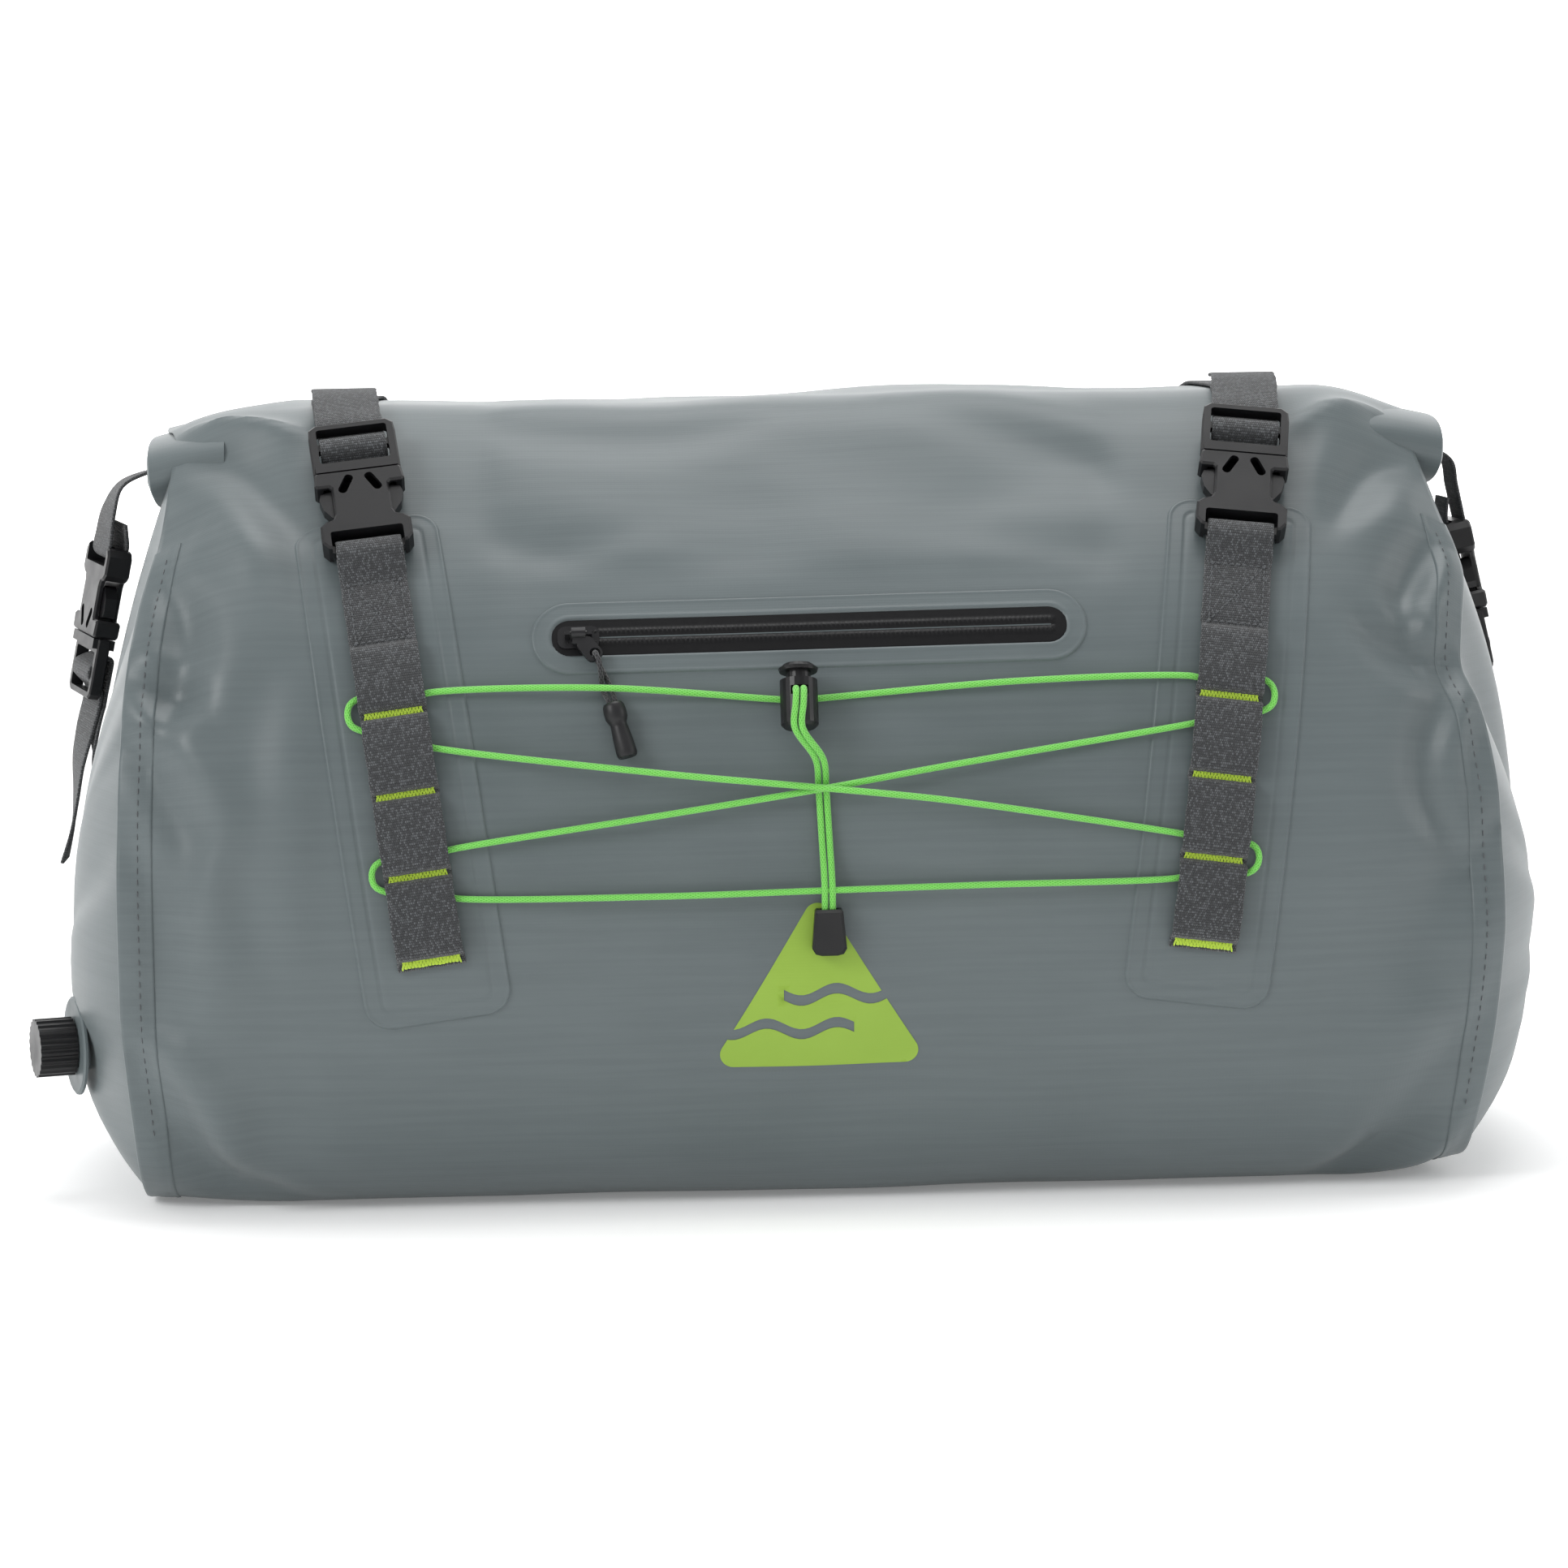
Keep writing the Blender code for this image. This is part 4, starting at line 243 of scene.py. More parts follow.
# heights up to 0.26 are on the front, negative ones on the rear, 2 + s is a place on the path
strokes = [{"kind": kind, "depth": depth, "width": width, "points": points} for kind, depth, width,
           *points in (
    # corner folds beside the roll's left end
    ("ridge", 0.0034, 0.009, (-0.254, 2.452), (-0.222, 2.446), (-0.190, 2.437), (-0.168, 2.428)),
    ("dent", 0.0022, 0.012, (-0.250, 2.430), (-0.222, 2.424), (-0.192, 0.2590), (-0.176, 0.2520)),
    ("dent", 0.0030, 0.009, (-0.250, 0.2480), (-0.238, 0.2300), (-0.236, 0.2050), (-0.243, 0.1780)),
    ("fold", 0.0016, 0.014, (-0.225, 0.2560), (-0.214, 0.2300), (-0.218, 0.1980)),
    ("dent", 0.0020, 0.007, (-0.257, 0.2120), (-0.240, 0.2010), (-0.222, 0.1960)),
    ("fold", 0.0026, 0.010, (-0.256, 0.1900), (-0.238, 0.1740), (-0.226, 0.1500), (-0.230, 0.1150)),
    ("dent", 0.0024, 0.010, (-0.256, 0.1500), (-0.243, 0.1220), (-0.240, 0.0920), (-0.250, 0.0600)),
    ("fold", 0.0026, 0.011, (-0.254, 0.0700), (-0.236, 0.0450), (-0.222, 0.0140)),
    ("dent", 0.0018, 0.010, (-0.246, 0.0340), (-0.226, 0.0120), (-0.190, 0.0030)),
    # and at the right end, which is drawn in by the buckle
    ("ridge", 0.0030, 0.010, (0.254, 2.450), (0.226, 2.446), (0.196, 2.436), (0.178, 2.424)),
    ("dent", 0.0024, 0.011, (0.250, 2.424), (0.226, 2.414), (0.200, 0.2500)),
    ("fold", 0.0030, 0.010, (0.250, 0.2500), (0.238, 0.2280), (0.236, 0.2060)),
    ("dent", 0.0032, 0.009, (0.257, 0.2080), (0.240, 0.2030), (0.220, 0.2090), (0.205, 0.2200)),
    ("fold", 0.0030, 0.009, (0.257, 0.1980), (0.242, 0.1800), (0.236, 0.1560), (0.242, 0.1280)),
    ("dent", 0.0022, 0.006, (0.256, 0.1840), (0.246, 0.1620), (0.244, 0.1400)),
    ("fold", 0.0020, 0.013, (0.254, 0.1320), (0.238, 0.1000), (0.240, 0.0680)),
    ("dent", 0.0024, 0.013, (0.252, 0.0640), (0.228, 0.0360), (0.205, 0.0080)),
    ("fold", 0.0020, 0.010, (0.246, 0.0260), (0.224, 0.0080), (0.190, 0.0020)),
    # soft pulls over the top, between and beside the straps
    ("fold", 0.0018, 0.011, (-0.140, 2.452), (-0.105, 2.444), (-0.060, 2.440), (-0.010, 2.446)),
    ("dent", 0.0016, 0.011, (-0.134, 0.2540), (-0.100, 0.2470), (-0.062, 0.2520)),
    ("fold", 0.0009, 0.013, (-0.122, 0.2350), (-0.090, 0.2420), (-0.050, 0.2400)),
    ("fold", 0.0019, 0.012, (0.040, 2.450), (0.086, 2.436), (0.128, 2.412), (0.142, 0.2560)),
    ("dent", 0.0013, 0.012, (0.134, 0.2480), (0.104, 0.2420), (0.066, 0.2480)),
    ("dent", 0.0010, 0.016, (-0.020, 2.430), (0.020, 2.422), (0.064, 2.424)),
    ("dent", 0.0004, 0.011, (-0.112, 0.1960), (-0.114, 0.1550), (-0.112, 0.1150), (-0.116, 0.0900)),
    ("dent", 0.0004, 0.012, (0.112, 0.1900), (0.114, 0.1500), (0.112, 0.1050)),
    ("fold", 0.0011, 0.014, (-0.200, 0.2300), (-0.196, 0.1900), (-0.204, 0.1400), (-0.198, 0.0900)),
    ("dent", 0.0009, 0.020, (-0.060, 0.0560), (0.010, 0.0500), (0.090, 0.0570)),
    # rear
    ("fold", 0.0026, 0.011, (-0.246, -0.220), (-0.226, -0.190), (-0.236, -0.150)),
    ("dent", 0.0022, 0.012, (-0.250, -0.130), (-0.232, -0.090), (-0.246, -0.050)),
    ("fold", 0.0024, 0.011, (0.248, -0.225), (0.230, -0.180), (0.240, -0.140)),
    ("dent", 0.0022, 0.012, (0.250, -0.120), (0.232, -0.080), (0.244, -0.040)),
    ("dent", 0.0016, 0.011, (-0.090, -0.250), (-0.040, -0.246), (0.030, -0.249), (0.080, -0.246)),
    ("fold", 0.0013, 0.016, (-0.075, -0.205), (0.000, -0.196), (0.080, -0.204)),
)]


held = {"strapX": 0.152, "strapHalf": 0.026, "strapFade": 0.016, "pocketHalf": 0.098, "pocketFade": 0.014,
        "pocketHeight": 0.208, "pocketReach": 0.030, "baseHalf": 0.090, "baseFade": 0.030, "share": 0.9}


# welded patches, the pocket and the base hold the fabric flat: 0 there, 1 where it's free
def quiet(x, s):
    x, s = np.asarray(x, float), np.asarray(s, float)
    strap = np.abs(np.abs(x) - held["strapX"])
    onStraps = 1 - smooth((strap - held["strapHalf"]) / held["strapFade"])
    pocketX = 1 - smooth((np.abs(x) - held["pocketHalf"]) / held["pocketFade"])
    pocketS = np.abs(s - sAt(held["pocketHeight"])) - held["pocketReach"]
    onPocket = np.where(s > 0, pocketX * (1 - smooth(pocketS / held["pocketFade"])), 0)
    onBase = 1 - smooth((np.abs(s) - held["baseHalf"]) / held["baseFade"])
    hold = np.maximum(onStraps * held["share"], np.maximum(onPocket * held["share"], onBase))
    return 1 - hold


drape = {"rollBlend": 0.040, "backBlend": 0.05, "rollShrink": 0.04, "wave": 0.0014, "waveRate": 21,
         "wavePhase": 0.6, "sag": 0.0016, "sagReach": 0.25, "sideX": 0.165, "sideFade": 0.03}


# places for arrays of x, s and height above the fabric
def bagPoints(x, s, h=0.0, still=False):
    x, s, h = np.broadcast_arrays(np.asarray(x, float), np.asarray(s, float), np.asarray(h, float))
    y, z = np.interp(s, pathS, path[:, 0]), np.interp(s, pathS, path[:, 1])
    oy, oz = np.interp(s, pathS, pathOut[:, 0]), np.interp(s, pathS, pathOut[:, 1])
    size = np.hypot(oy, oz)
    lift = h if still else h + relief(x, s) * quiet(x, s)
    y, z = y + oy / size * lift, z + oz / size * lift
    onRoll = np.maximum(smooth((s - frontEnd) / drape["rollBlend"]),
                        smooth((pathS[0] + drape["backBlend"] - s) / drape["backBlend"]))
    share = np.clip((np.abs(x) - bag["straightHalf"]) / (bag["halfLength"] - bag["straightHalf"]), 0, 1) ** 2
    keep = 1 - bag["endShrink"] * share
    mid = bag["centreHeight"]
    keepZ = np.where(z > mid, keep, 1 - bag["endLift"] * share * np.where(x < 0, 0.5, 1.6))
    bodyY, bodyZ = y * keep, mid + (z - mid) * keepZ
    slack = (drape["wave"] * np.sin(x * drape["waveRate"] + drape["wavePhase"])
             - drape["sag"] * (x / drape["sagReach"]) ** 4)
    slack = slack * (1 - np.exp(-((np.abs(x) - drape["sideX"]) / drape["sideFade"]) ** 2))
    rollY, rollZ = y * (1 - drape["rollShrink"] * share), z - bag["rollDroop"] * share + slack
    mix = lambda a, b: a + (b - a) * onRoll
    straight = bag["straightHalf"]
    past = np.maximum(np.abs(x) - straight, 0) / (bag["halfLength"] - straight)
    reach = np.where(x < 0, seamReach(-1, s), seamReach(1, s))
    placeX = np.where(past > 0, np.sign(x) * (straight + past * (reach - straight)), x)
    return np.stack([placeX, mix(bodyY, rollY), np.maximum(mix(bodyZ, rollZ), 0.0)], axis=-1)


def bagPoint(x, s, h=0.0, still=False):
    return Vector(bagPoints(x, s, h, still))


def frontPoint(x, height, stand):
    return bagPoint(x, sAt(height), stand)


def frontAxes(s):
    low, high = bagPoint(0, s - 0.001, 0, True), bagPoint(0, s + 0.001, 0, True)
    up = (high - low).normalized()
    return up, Vector((1, 0, 0)).cross(up)


# materials

def linear(text):
    parts = [int(text[i:i + 2], 16) / 255 for i in (1, 3, 5)]
    return (*[c / 12.92 if c <= 0.04045 else ((c + 0.055) / 1.055) ** 2.4 for c in parts], 1)


def addNode(tree, kind, settings=None, links=None):
    node = tree.nodes.new(kind)
    for name, value in (settings or {}).items():
        if isinstance(name, str) and hasattr(node, name):
            setattr(node, name, value)
        else:
            node.inputs[name].default_value = value
    for name, source in (links or {}).items():
        tree.links.new(source, node.inputs[name])
    return node


def mathNode(tree, operation, a, b=None, c=None):
    node = tree.nodes.new("ShaderNodeMath")
    node.operation = operation
    for i, value in enumerate((a, b, c)):
        if value is None:
            continue
        if isinstance(value, (int, float)):
            node.inputs[i].default_value = value
        else:
            tree.links.new(value, node.inputs[i])
    return node.outputs[0]


def newMaterial(name, colour, roughness, **sockets):
    look = bpy.data.materials.new(name)
    look.use_nodes = True
    tree = look.node_tree
    shader = tree.nodes["Principled BSDF"]
    shader.inputs["Base Color"].default_value = linear(colour)
    shader.inputs["Roughness"].default_value = roughness
    for key, value in sockets.items():
        shader.inputs[key.replace("_", " ")].default_value = value
    return look, tree, shader


def ramp(tree, source, low, high, lowValue=0.0, highValue=1.0):
    node = addNode(tree, "ShaderNodeMapRange", {"interpolation_type": "SMOOTHSTEP"}, {0: source})
    for i, value in zip((1, 2, 3, 4), (low, high, lowValue, highValue)):
        node.inputs[i].default_value = value
    return node.outputs[0]


def bump(tree, shader, height, distance, strength=1.0, under=None):
    node = addNode(tree, "ShaderNodeBump", {"Strength": strength, "Distance": distance}, {"Height": height})
    if under:
        tree.links.new(under, node.inputs["Normal"])
    tree.links.new(node.outputs[0], shader.inputs["Normal"])
    return node.outputs[0]


def mixColours(tree, factor, a, b):
    node = addNode(tree, "ShaderNodeMix", {"data_type": "RGBA"})
    tree.links.new(factor, node.inputs[0])
    for i, value in ((6, a), (7, b)):
        if isinstance(value, tuple):
            node.inputs[i].default_value = value
        else:
            tree.links.new(value, node.inputs[i])
    return node.outputs[2]


# PVC-coated polyester tarpaulin: satin film over a fine plain weave
def tarpaulin():
    look, tree, shader = newMaterial("coatedTarpaulin", "#5b6466", 0.42, Specular_IOR_Level=0.42,
                                     Sheen_Weight=0.06, Sheen_Roughness=0.5)
    place = addNode(tree, "ShaderNodeUVMap", {"uv_map": "cloth"}).outputs[0]
    split = addNode(tree, "ShaderNodeSeparateXYZ", links={0: place})
    weft = mathNode(tree, "SINE", mathNode(tree, "MULTIPLY", split.outputs[1], math.tau / 0.00105))
    warp = mathNode(tree, "SINE", mathNode(tree, "MULTIPLY", split.outputs[0], math.tau / 0.00125))
    weave = mathNode(tree, "MULTIPLY_ADD", warp, 0.45, weft)
    obj = addNode(tree, "ShaderNodeTexCoord").outputs["Object"]
    cloudy = addNode(tree, "ShaderNodeTexNoise", {"Scale": 9.0, "Detail": 4.0, "Roughness": 0.55},
                     {"Vector": obj})
    fine = addNode(tree, "ShaderNodeTexNoise", {"Scale": 900.0, "Detail": 3.0, "Roughness": 0.6},
                   {"Vector": obj})
    slub = addNode(tree, "ShaderNodeMapping", {"Scale": (14.0, 420.0, 1.0)}, {"Vector": place})
    slubs = addNode(tree, "ShaderNodeTexNoise", {"Scale": 1.0, "Detail": 2.0}, {"Vector": slub.outputs[0]})
    tone = mathNode(tree, "ADD", ramp(tree, cloudy.outputs[0], 0.3, 0.7, 0.0, 0.6),
                    ramp(tree, slubs.outputs[0], 0.3, 0.7, 0.0, 0.4))
    colour = mixColours(tree, tone, linear("#565f61"), linear("#5f686a"))
    tree.links.new(colour, shader.inputs["Base Color"])
    rough = ramp(tree, cloudy.outputs[0], 0.25, 0.75, 0.38, 0.47)
    tree.links.new(rough, shader.inputs["Roughness"])
    height = mathNode(tree, "MULTIPLY_ADD", fine.outputs[0], 1.6,
                      mathNode(tree, "MULTIPLY_ADD", slubs.outputs[0], 1.2, weave))
    bump(tree, shader, height, 0.00001, 0.55)
    return look


# flecked polyester webbing: plain weave of grey yarns with a few pale ones, with painted shade in the gaps
# between the yarn knuckles
def webbing(name="heatherWebbing", dark="#36383a", pale="#5a5d60"):
    look, tree, shader = newMaterial(name, dark, 0.82, Specular_IOR_Level=0.25, Sheen_Weight=0.25,
                                     Sheen_Roughness=0.6)
    place = addNode(tree, "ShaderNodeUVMap", {"uv_map": "cloth"}).outputs[0]
    split = addNode(tree, "ShaderNodeSeparateXYZ", links={0: place})
    u = mathNode(tree, "DIVIDE", split.outputs[0], 0.00078)
    v = mathNode(tree, "DIVIDE", split.outputs[1], 0.00092)
    row = mathNode(tree, "FLOOR", v)
    shift = mathNode(tree, "MULTIPLY", mathNode(tree, "MODULO", row, 2.0), 0.5)
    column = mathNode(tree, "FLOOR", mathNode(tree, "ADD", u, shift))
    cell = addNode(tree, "ShaderNodeCombineXYZ", links={0: column, 1: row})
    chance = addNode(tree, "ShaderNodeTexWhiteNoise", {"noise_dimensions": "2D"}, {"Vector": cell.outputs[0]})
    inU = mathNode(tree, "FRACT", mathNode(tree, "ADD", u, shift))
    inV = mathNode(tree, "FRACT", v)
    domeU = mathNode(tree, "SINE", mathNode(tree, "MULTIPLY", inU, math.pi))
    domeV = mathNode(tree, "SINE", mathNode(tree, "MULTIPLY", inV, math.pi))
    knuckle = mathNode(tree, "MULTIPLY", domeU, domeV)
    fleck = ramp(tree, chance.outputs[0], 0.35, 1.0, 0.0, 1.0)
    yarn = mixColours(tree, fleck, linear(dark), linear(pale))
    # painted shade: the yarn colour darkens to near black where each knuckle dips into the gap beside the next
    shade = mixColours(tree, ramp(tree, knuckle, 0.0, 0.5), linear("#212325"), yarn)
    tree.links.new(shade, shader.inputs["Base Color"])
    bump(tree, shader, knuckle, 0.00035, 0.8)
    return look


# moulded acetal: satin black with a faint spark-eroded grain
def acetal(name="mouldedAcetal", colour="#121214", roughness=0.36, grain=0.00003):
    look, tree, shader = newMaterial(name, colour, roughness, Specular_IOR_Level=0.36)
    obj = addNode(tree, "ShaderNodeTexCoord").outputs["Object"]
    fine = addNode(tree, "ShaderNodeTexNoise", {"Scale": 1600.0, "Detail": 2.0}, {"Vector": obj})
    broad = addNode(tree, "ShaderNodeTexNoise", {"Scale": 70.0, "Detail": 3.0}, {"Vector": obj})
    tree.links.new(ramp(tree, broad.outputs[0], 0.3, 0.7, roughness - 0.05, roughness + 0.07),
                   shader.inputs["Roughness"])
    bump(tree, shader, fine.outputs[0], grain, 0.5)
    return look


# braided cord cover: yarns cross at an angle round the cord, painted lighter on their crests as highlight and
# darker in the grooves as shade
def braid(name, colour, pale, roughness, lines=8, pitch=0.0019):
    look, tree, shader = newMaterial(name, colour, roughness, Specular_IOR_Level=0.35, Sheen_Weight=0.3,
                                     Sheen_Roughness=0.5)
    place = addNode(tree, "ShaderNodeUVMap", {"uv_map": "cloth"}).outputs[0]
    split = addNode(tree, "ShaderNodeSeparateXYZ", links={0: place})
    turn = mathNode(tree, "MULTIPLY", split.outputs[0], lines)
    run = mathNode(tree, "DIVIDE", split.outputs[1], pitch)
    one = mathNode(tree, "SINE", mathNode(tree, "MULTIPLY", mathNode(tree, "ADD", turn, run), math.tau))
    two = mathNode(tree, "SINE", mathNode(tree, "MULTIPLY", mathNode(tree, "SUBTRACT", turn, run), math.tau))
    yarns = mathNode(tree, "MAXIMUM", one, two)
    # painted light and shade: the pale colour lies on the yarn crests, the base colour in the grooves between
    # them
    tree.links.new(mixColours(tree, ramp(tree, yarns, -0.4, 0.9), linear(colour), linear(pale)),
                   shader.inputs["Base Color"])
    bump(tree, shader, yarns, 0.00016, 0.7)
    return look


# sewing thread: a fine twist along each stitch
def thread(name, colour):
    look, tree, shader = newMaterial(name, colour, 0.55, Specular_IOR_Level=0.4, Sheen_Weight=0.3)
    obj = addNode(tree, "ShaderNodeTexCoord").outputs["Object"]
    twist = addNode(tree, "ShaderNodeTexWave", {"Scale": 420.0, "Distortion": 1.5,
                                                "bands_direction": "DIAGONAL"}, {"Vector": obj})
    bump(tree, shader, twist.outputs[1], 0.00006, 0.6)
    return look


# screen-printed film on the fabric, with the weave just showing
def printFilm():
    look, tree, shader = newMaterial("limePrint", "#8bac3c", 0.48, Specular_IOR_Level=0.4)
    place = addNode(tree, "ShaderNodeUVMap", {"uv_map": "cloth"}).outputs[0]
    split = addNode(tree, "ShaderNodeSeparateXYZ", links={0: place})
    weft = mathNode(tree, "SINE", mathNode(tree, "MULTIPLY", split.outputs[1], math.tau / 0.00105))
    obj = addNode(tree, "ShaderNodeTexCoord").outputs["Object"]
    cloudy = addNode(tree, "ShaderNodeTexNoise", {"Scale": 40.0, "Detail": 4.0}, {"Vector": obj})
    tree.links.new(mixColours(tree, cloudy.outputs[0], linear("#87a838"), linear("#90b141")),
                   shader.inputs["Base Color"])
    bump(tree, shader, mathNode(tree, "ADD", weft, cloudy.outputs[0]), 0.00001, 0.4)
    return look


# polyurethane film over the zip tape: smooth, with a faint orange-peel
def zipFilm():
    look, tree, shader = newMaterial("zipFilm", "#0e0e10", 0.5, Specular_IOR_Level=0.22)
    obj = addNode(tree, "ShaderNodeTexCoord").outputs["Object"]
    peel = addNode(tree, "ShaderNodeTexNoise", {"Scale": 700.0, "Detail": 3.0}, {"Vector": obj})
    tree.links.new(ramp(tree, peel.outputs[0], 0.3, 0.7, 0.40, 0.52), shader.inputs["Roughness"])
    bump(tree, shader, peel.outputs[0], 0.00004, 0.5)
    return look


looks = {
    "tarpaulin": tarpaulin(),
    "webbing": webbing(),
    "acetal": acetal(),
    "polymer": acetal("blackPolyethylene", "#1c1c1d", 0.5),
    "zinc": acetal("coatedZinc", "#1b1b1d", 0.32, 0.00002),
    "rubber": acetal("blackRubber", "#161616", 0.7, 0.00006),
    "shrink": acetal("shrinkTube", "#1a1a1c", 0.42, 0.00005),
    "valve": acetal("greyValve", "#5d6668", 0.42),
    # in each braid the second colour is painted highlight on the yarn crests, and the first is painted shade
    # in the grooves
    "bungee": braid("bungeeCover", "#55b836", "#7fd35f", 0.5),
    "puller": braid("braidedPuller", "#121213", "#3a3a3d", 0.75, 6, 0.0022),
    "limeThread": thread("limeThread", "#b2d13c"),
    "greyThread": thread("greyThread", "#4a4d50"),
    "print": printFilm(),
    "zipFilm": zipFilm(),
    "coil": acetal("polyesterCoil", "#161617", 0.5),
    "liner": acetal("nylonLiner", "#2c2c2f", 0.75, 0.00005),
    "steel": acetal("springSteel", "#b8b8ba", 0.3, 0.00001),
}
looks["steel"].node_tree.nodes["Principled BSDF"].inputs["Metallic"].default_value = 1.0
print("materials made")


# mesh helpers

def addObject(name, mesh, look, smoothed=True):
    obj = bpy.data.objects.new(name, mesh)
    obj.data.materials.clear()
    obj.data.materials.append(looks[look])
    bpy.context.scene.collection.objects.link(obj)
    if smoothed:
        mesh.shade_smooth()
    return obj


# a UV map called cloth, in metres, given for each vertex
def setCloth(mesh, uvs):
    layer = mesh.uv_layers.new(name="cloth")
    index = np.empty(len(mesh.loops), int)
    mesh.loops.foreach_get("vertex_index", index)
    layer.data.foreach_set("uv", np.asarray(uvs, float)[index].ravel())


# a mesh over a grid of points, rows by columns
def gridMesh(name, points, uvs, look, wrapAcross=False, closeEnds=False, outward=None):
    rows, columns = points.shape[:2]
    verts = points.reshape(-1, 3)
    faces = []
    for i in range(rows - 1):
        for j in range(columns if wrapAcross else columns - 1):
            k = (j + 1) % columns
            faces.append((i * columns + j, i * columns + k, (i + 1) * columns + k, (i + 1) * columns + j))
    if closeEnds:
        faces.append(tuple(range(columns))[::-1])
        faces.append(tuple((rows - 1) * columns + j for j in range(columns)))
    mesh = bpy.data.meshes.new(name)
    mesh.from_pydata([tuple(p) for p in verts], [], faces)
    if outward is not None:
        face = mesh.polygons[len(faces) // 2]
        if face.normal.dot(Vector(outward)) < 0:
            mesh.flip_normals()
    setCloth(mesh, np.asarray(uvs).reshape(-1, 2))
    return addObject(name, mesh, look)


def closedOutward(obj):
    work = bmesh.new()
    work.from_mesh(obj.data)
    bmesh.ops.recalc_face_normals(work, faces=work.faces)
    work.to_mesh(obj.data)
    work.free()


def finish(obj, body, slot, *replaced):
    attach(obj, body)
    if replaced:
        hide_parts(*replaced)
    return obj


# bag fabric

shell = {"stationStep": 0.0036, "pathStep": 0.0034, "rollThick": 0.0018}


# front, base, rear and the outer turn of the roll as one sheet
def bagShell():
    half = bag["halfLength"]
    count = int(2 * half / shell["stationStep"])
    share = np.linspace(-1, 1, count)
    share = np.sign(share) * (1 - (1 - np.abs(share)) ** 1.12)
    s = np.linspace(pathS[0], pathS[-1], int((pathS[-1] - pathS[0]) / shell["pathStep"]))
    x = np.broadcast_to(share[:, None] * half, (count, len(s)))
    points = bagPoints(x, np.broadcast_to(s, x.shape))
    uvs = np.stack([x, np.broadcast_to(s, x.shape)], axis=-1)
    obj = gridMesh("bagShell", points, uvs, "tarpaulin", outward=(0, 0, -1))
    mid = obj.data.polygons[len(obj.data.polygons) // 2]
    if mid.center.z > 0.1:
        work = bmesh.new()
        work.from_mesh(obj.data)
        lowest = min(work.faces, key=lambda f: f.calc_center_median().z)
        if lowest.normal.z > 0:
            bmesh.ops.reverse_faces(work, faces=work.faces)
        work.to_mesh(obj.data)
        work.free()
    thick = obj.modifiers.new("fabric", "SOLIDIFY")
    thick.thickness = shell["rollThick"] * 0.6
    thick.offset = -1
    return finish(obj, "bag", "tarpaulin", "wrap_panel", "roll_closure")


# a domed panel welded into the end, puckered a little at its seam
def endPanel(name, side):
    s = np.linspace(pathS[0], frontEnd + 0.036, 240)
    x = np.full(s.shape, side * (bag["halfLength"] - 0.0004))
    ring = bagPoints(x, s, -0.0006)
    first, last = ring[0], ring[-1]
    under = []  # round the underside of the roll, back to the fold behind it
    for angle in np.radians(np.linspace(196, 318, 24)):
        c, n = math.cos(angle), math.sin(angle)
        y = 0.96 * bag["rollReach"] * math.copysign(abs(c) ** 0.75, c)
        z = bag["rollHeight"] - bag["rollDroop"] + (bag["rollHalf"]
                                                    - 0.0015) * math.copysign(abs(n) ** 0.75, n)
        t = (angle - math.radians(196)) / math.radians(122)
        if last[1] < y < first[1]:
            under.append((last[0] + (first[0] - last[0]) * t, y, z))
    ring = np.concatenate([ring, under])
    shares = [1, 0.985, 0.965, 0.94, 0.91, 0.88, 0.84, 0.79, 0.74, 0.68, 0.61, 0.54, 0.46, 0.38, 0.29, 0.20,
              0.11, 0.04]
    rows, uvs = [], []
    for share in shares:
        hub = np.stack([ring[:, 0], np.zeros(len(ring)), np.full(len(ring), bag["hubHeight"])], axis=1)
        way = ring - hub
        reach = np.linalg.norm(way[:, 1:], axis=1)
        upward = np.maximum(0, way[:, 2] / reach)
        power = 2.8 - 1.0 * upward
        row = hub + way * share
        middle = side * bag["halfLength"] * (1 - share) + ring[:, 0] * share
        bulge = bag["bulge"] * (1 - share**power)
        angle = np.arctan2(way[:, 2], way[:, 1])
        pucker = np.sin(angle * 9 + 1.3 * side) * 0.0011 + np.sin(angle * 17
                + 2) * 0.0006 + np.sin(angle * 31) * 0.00025
        pucker = pucker * np.sin(np.pi * share ** 2.2) * np.where(np.abs(angle - math.radians(201)) < 0.35,
                0.2, 1)
        strapZone = np.exp(-(row[:, 1] / 0.03) ** 2) * (row[:, 2] > bag["hubHeight"])
        row[:, 0] = middle + side * (bulge + pucker * (1 - 0.8 * strapZone))
        rows.append(row)
        uvs.append(row[:, 1:])
    points = np.array(rows)
    obj = gridMesh(name, points, np.array(uvs), "tarpaulin", wrapAcross=True)
    work = bmesh.new()
    work.from_mesh(obj.data)
    edge = []  # round the hub, which is filled
    for e in work.edges:
        end = e.verts[0].co
        if e.is_boundary and (end - Vector((end.x, 0, bag["hubHeight"]))).length < 0.03:
            edge.append(e)
    bmesh.ops.contextual_create(work, geom=edge)
    for face in work.faces:
        if (face.normal.x * side) < 0 and abs(face.normal.x) > 0.5:
            bmesh.ops.reverse_faces(work, faces=work.faces)
            break
    work.to_mesh(obj.data)
    work.free()
    obj.data.shade_smooth()
    return finish(obj, "bag", "tarpaulin", f"end_panel_{'left' if side < 0 else 'right'}")


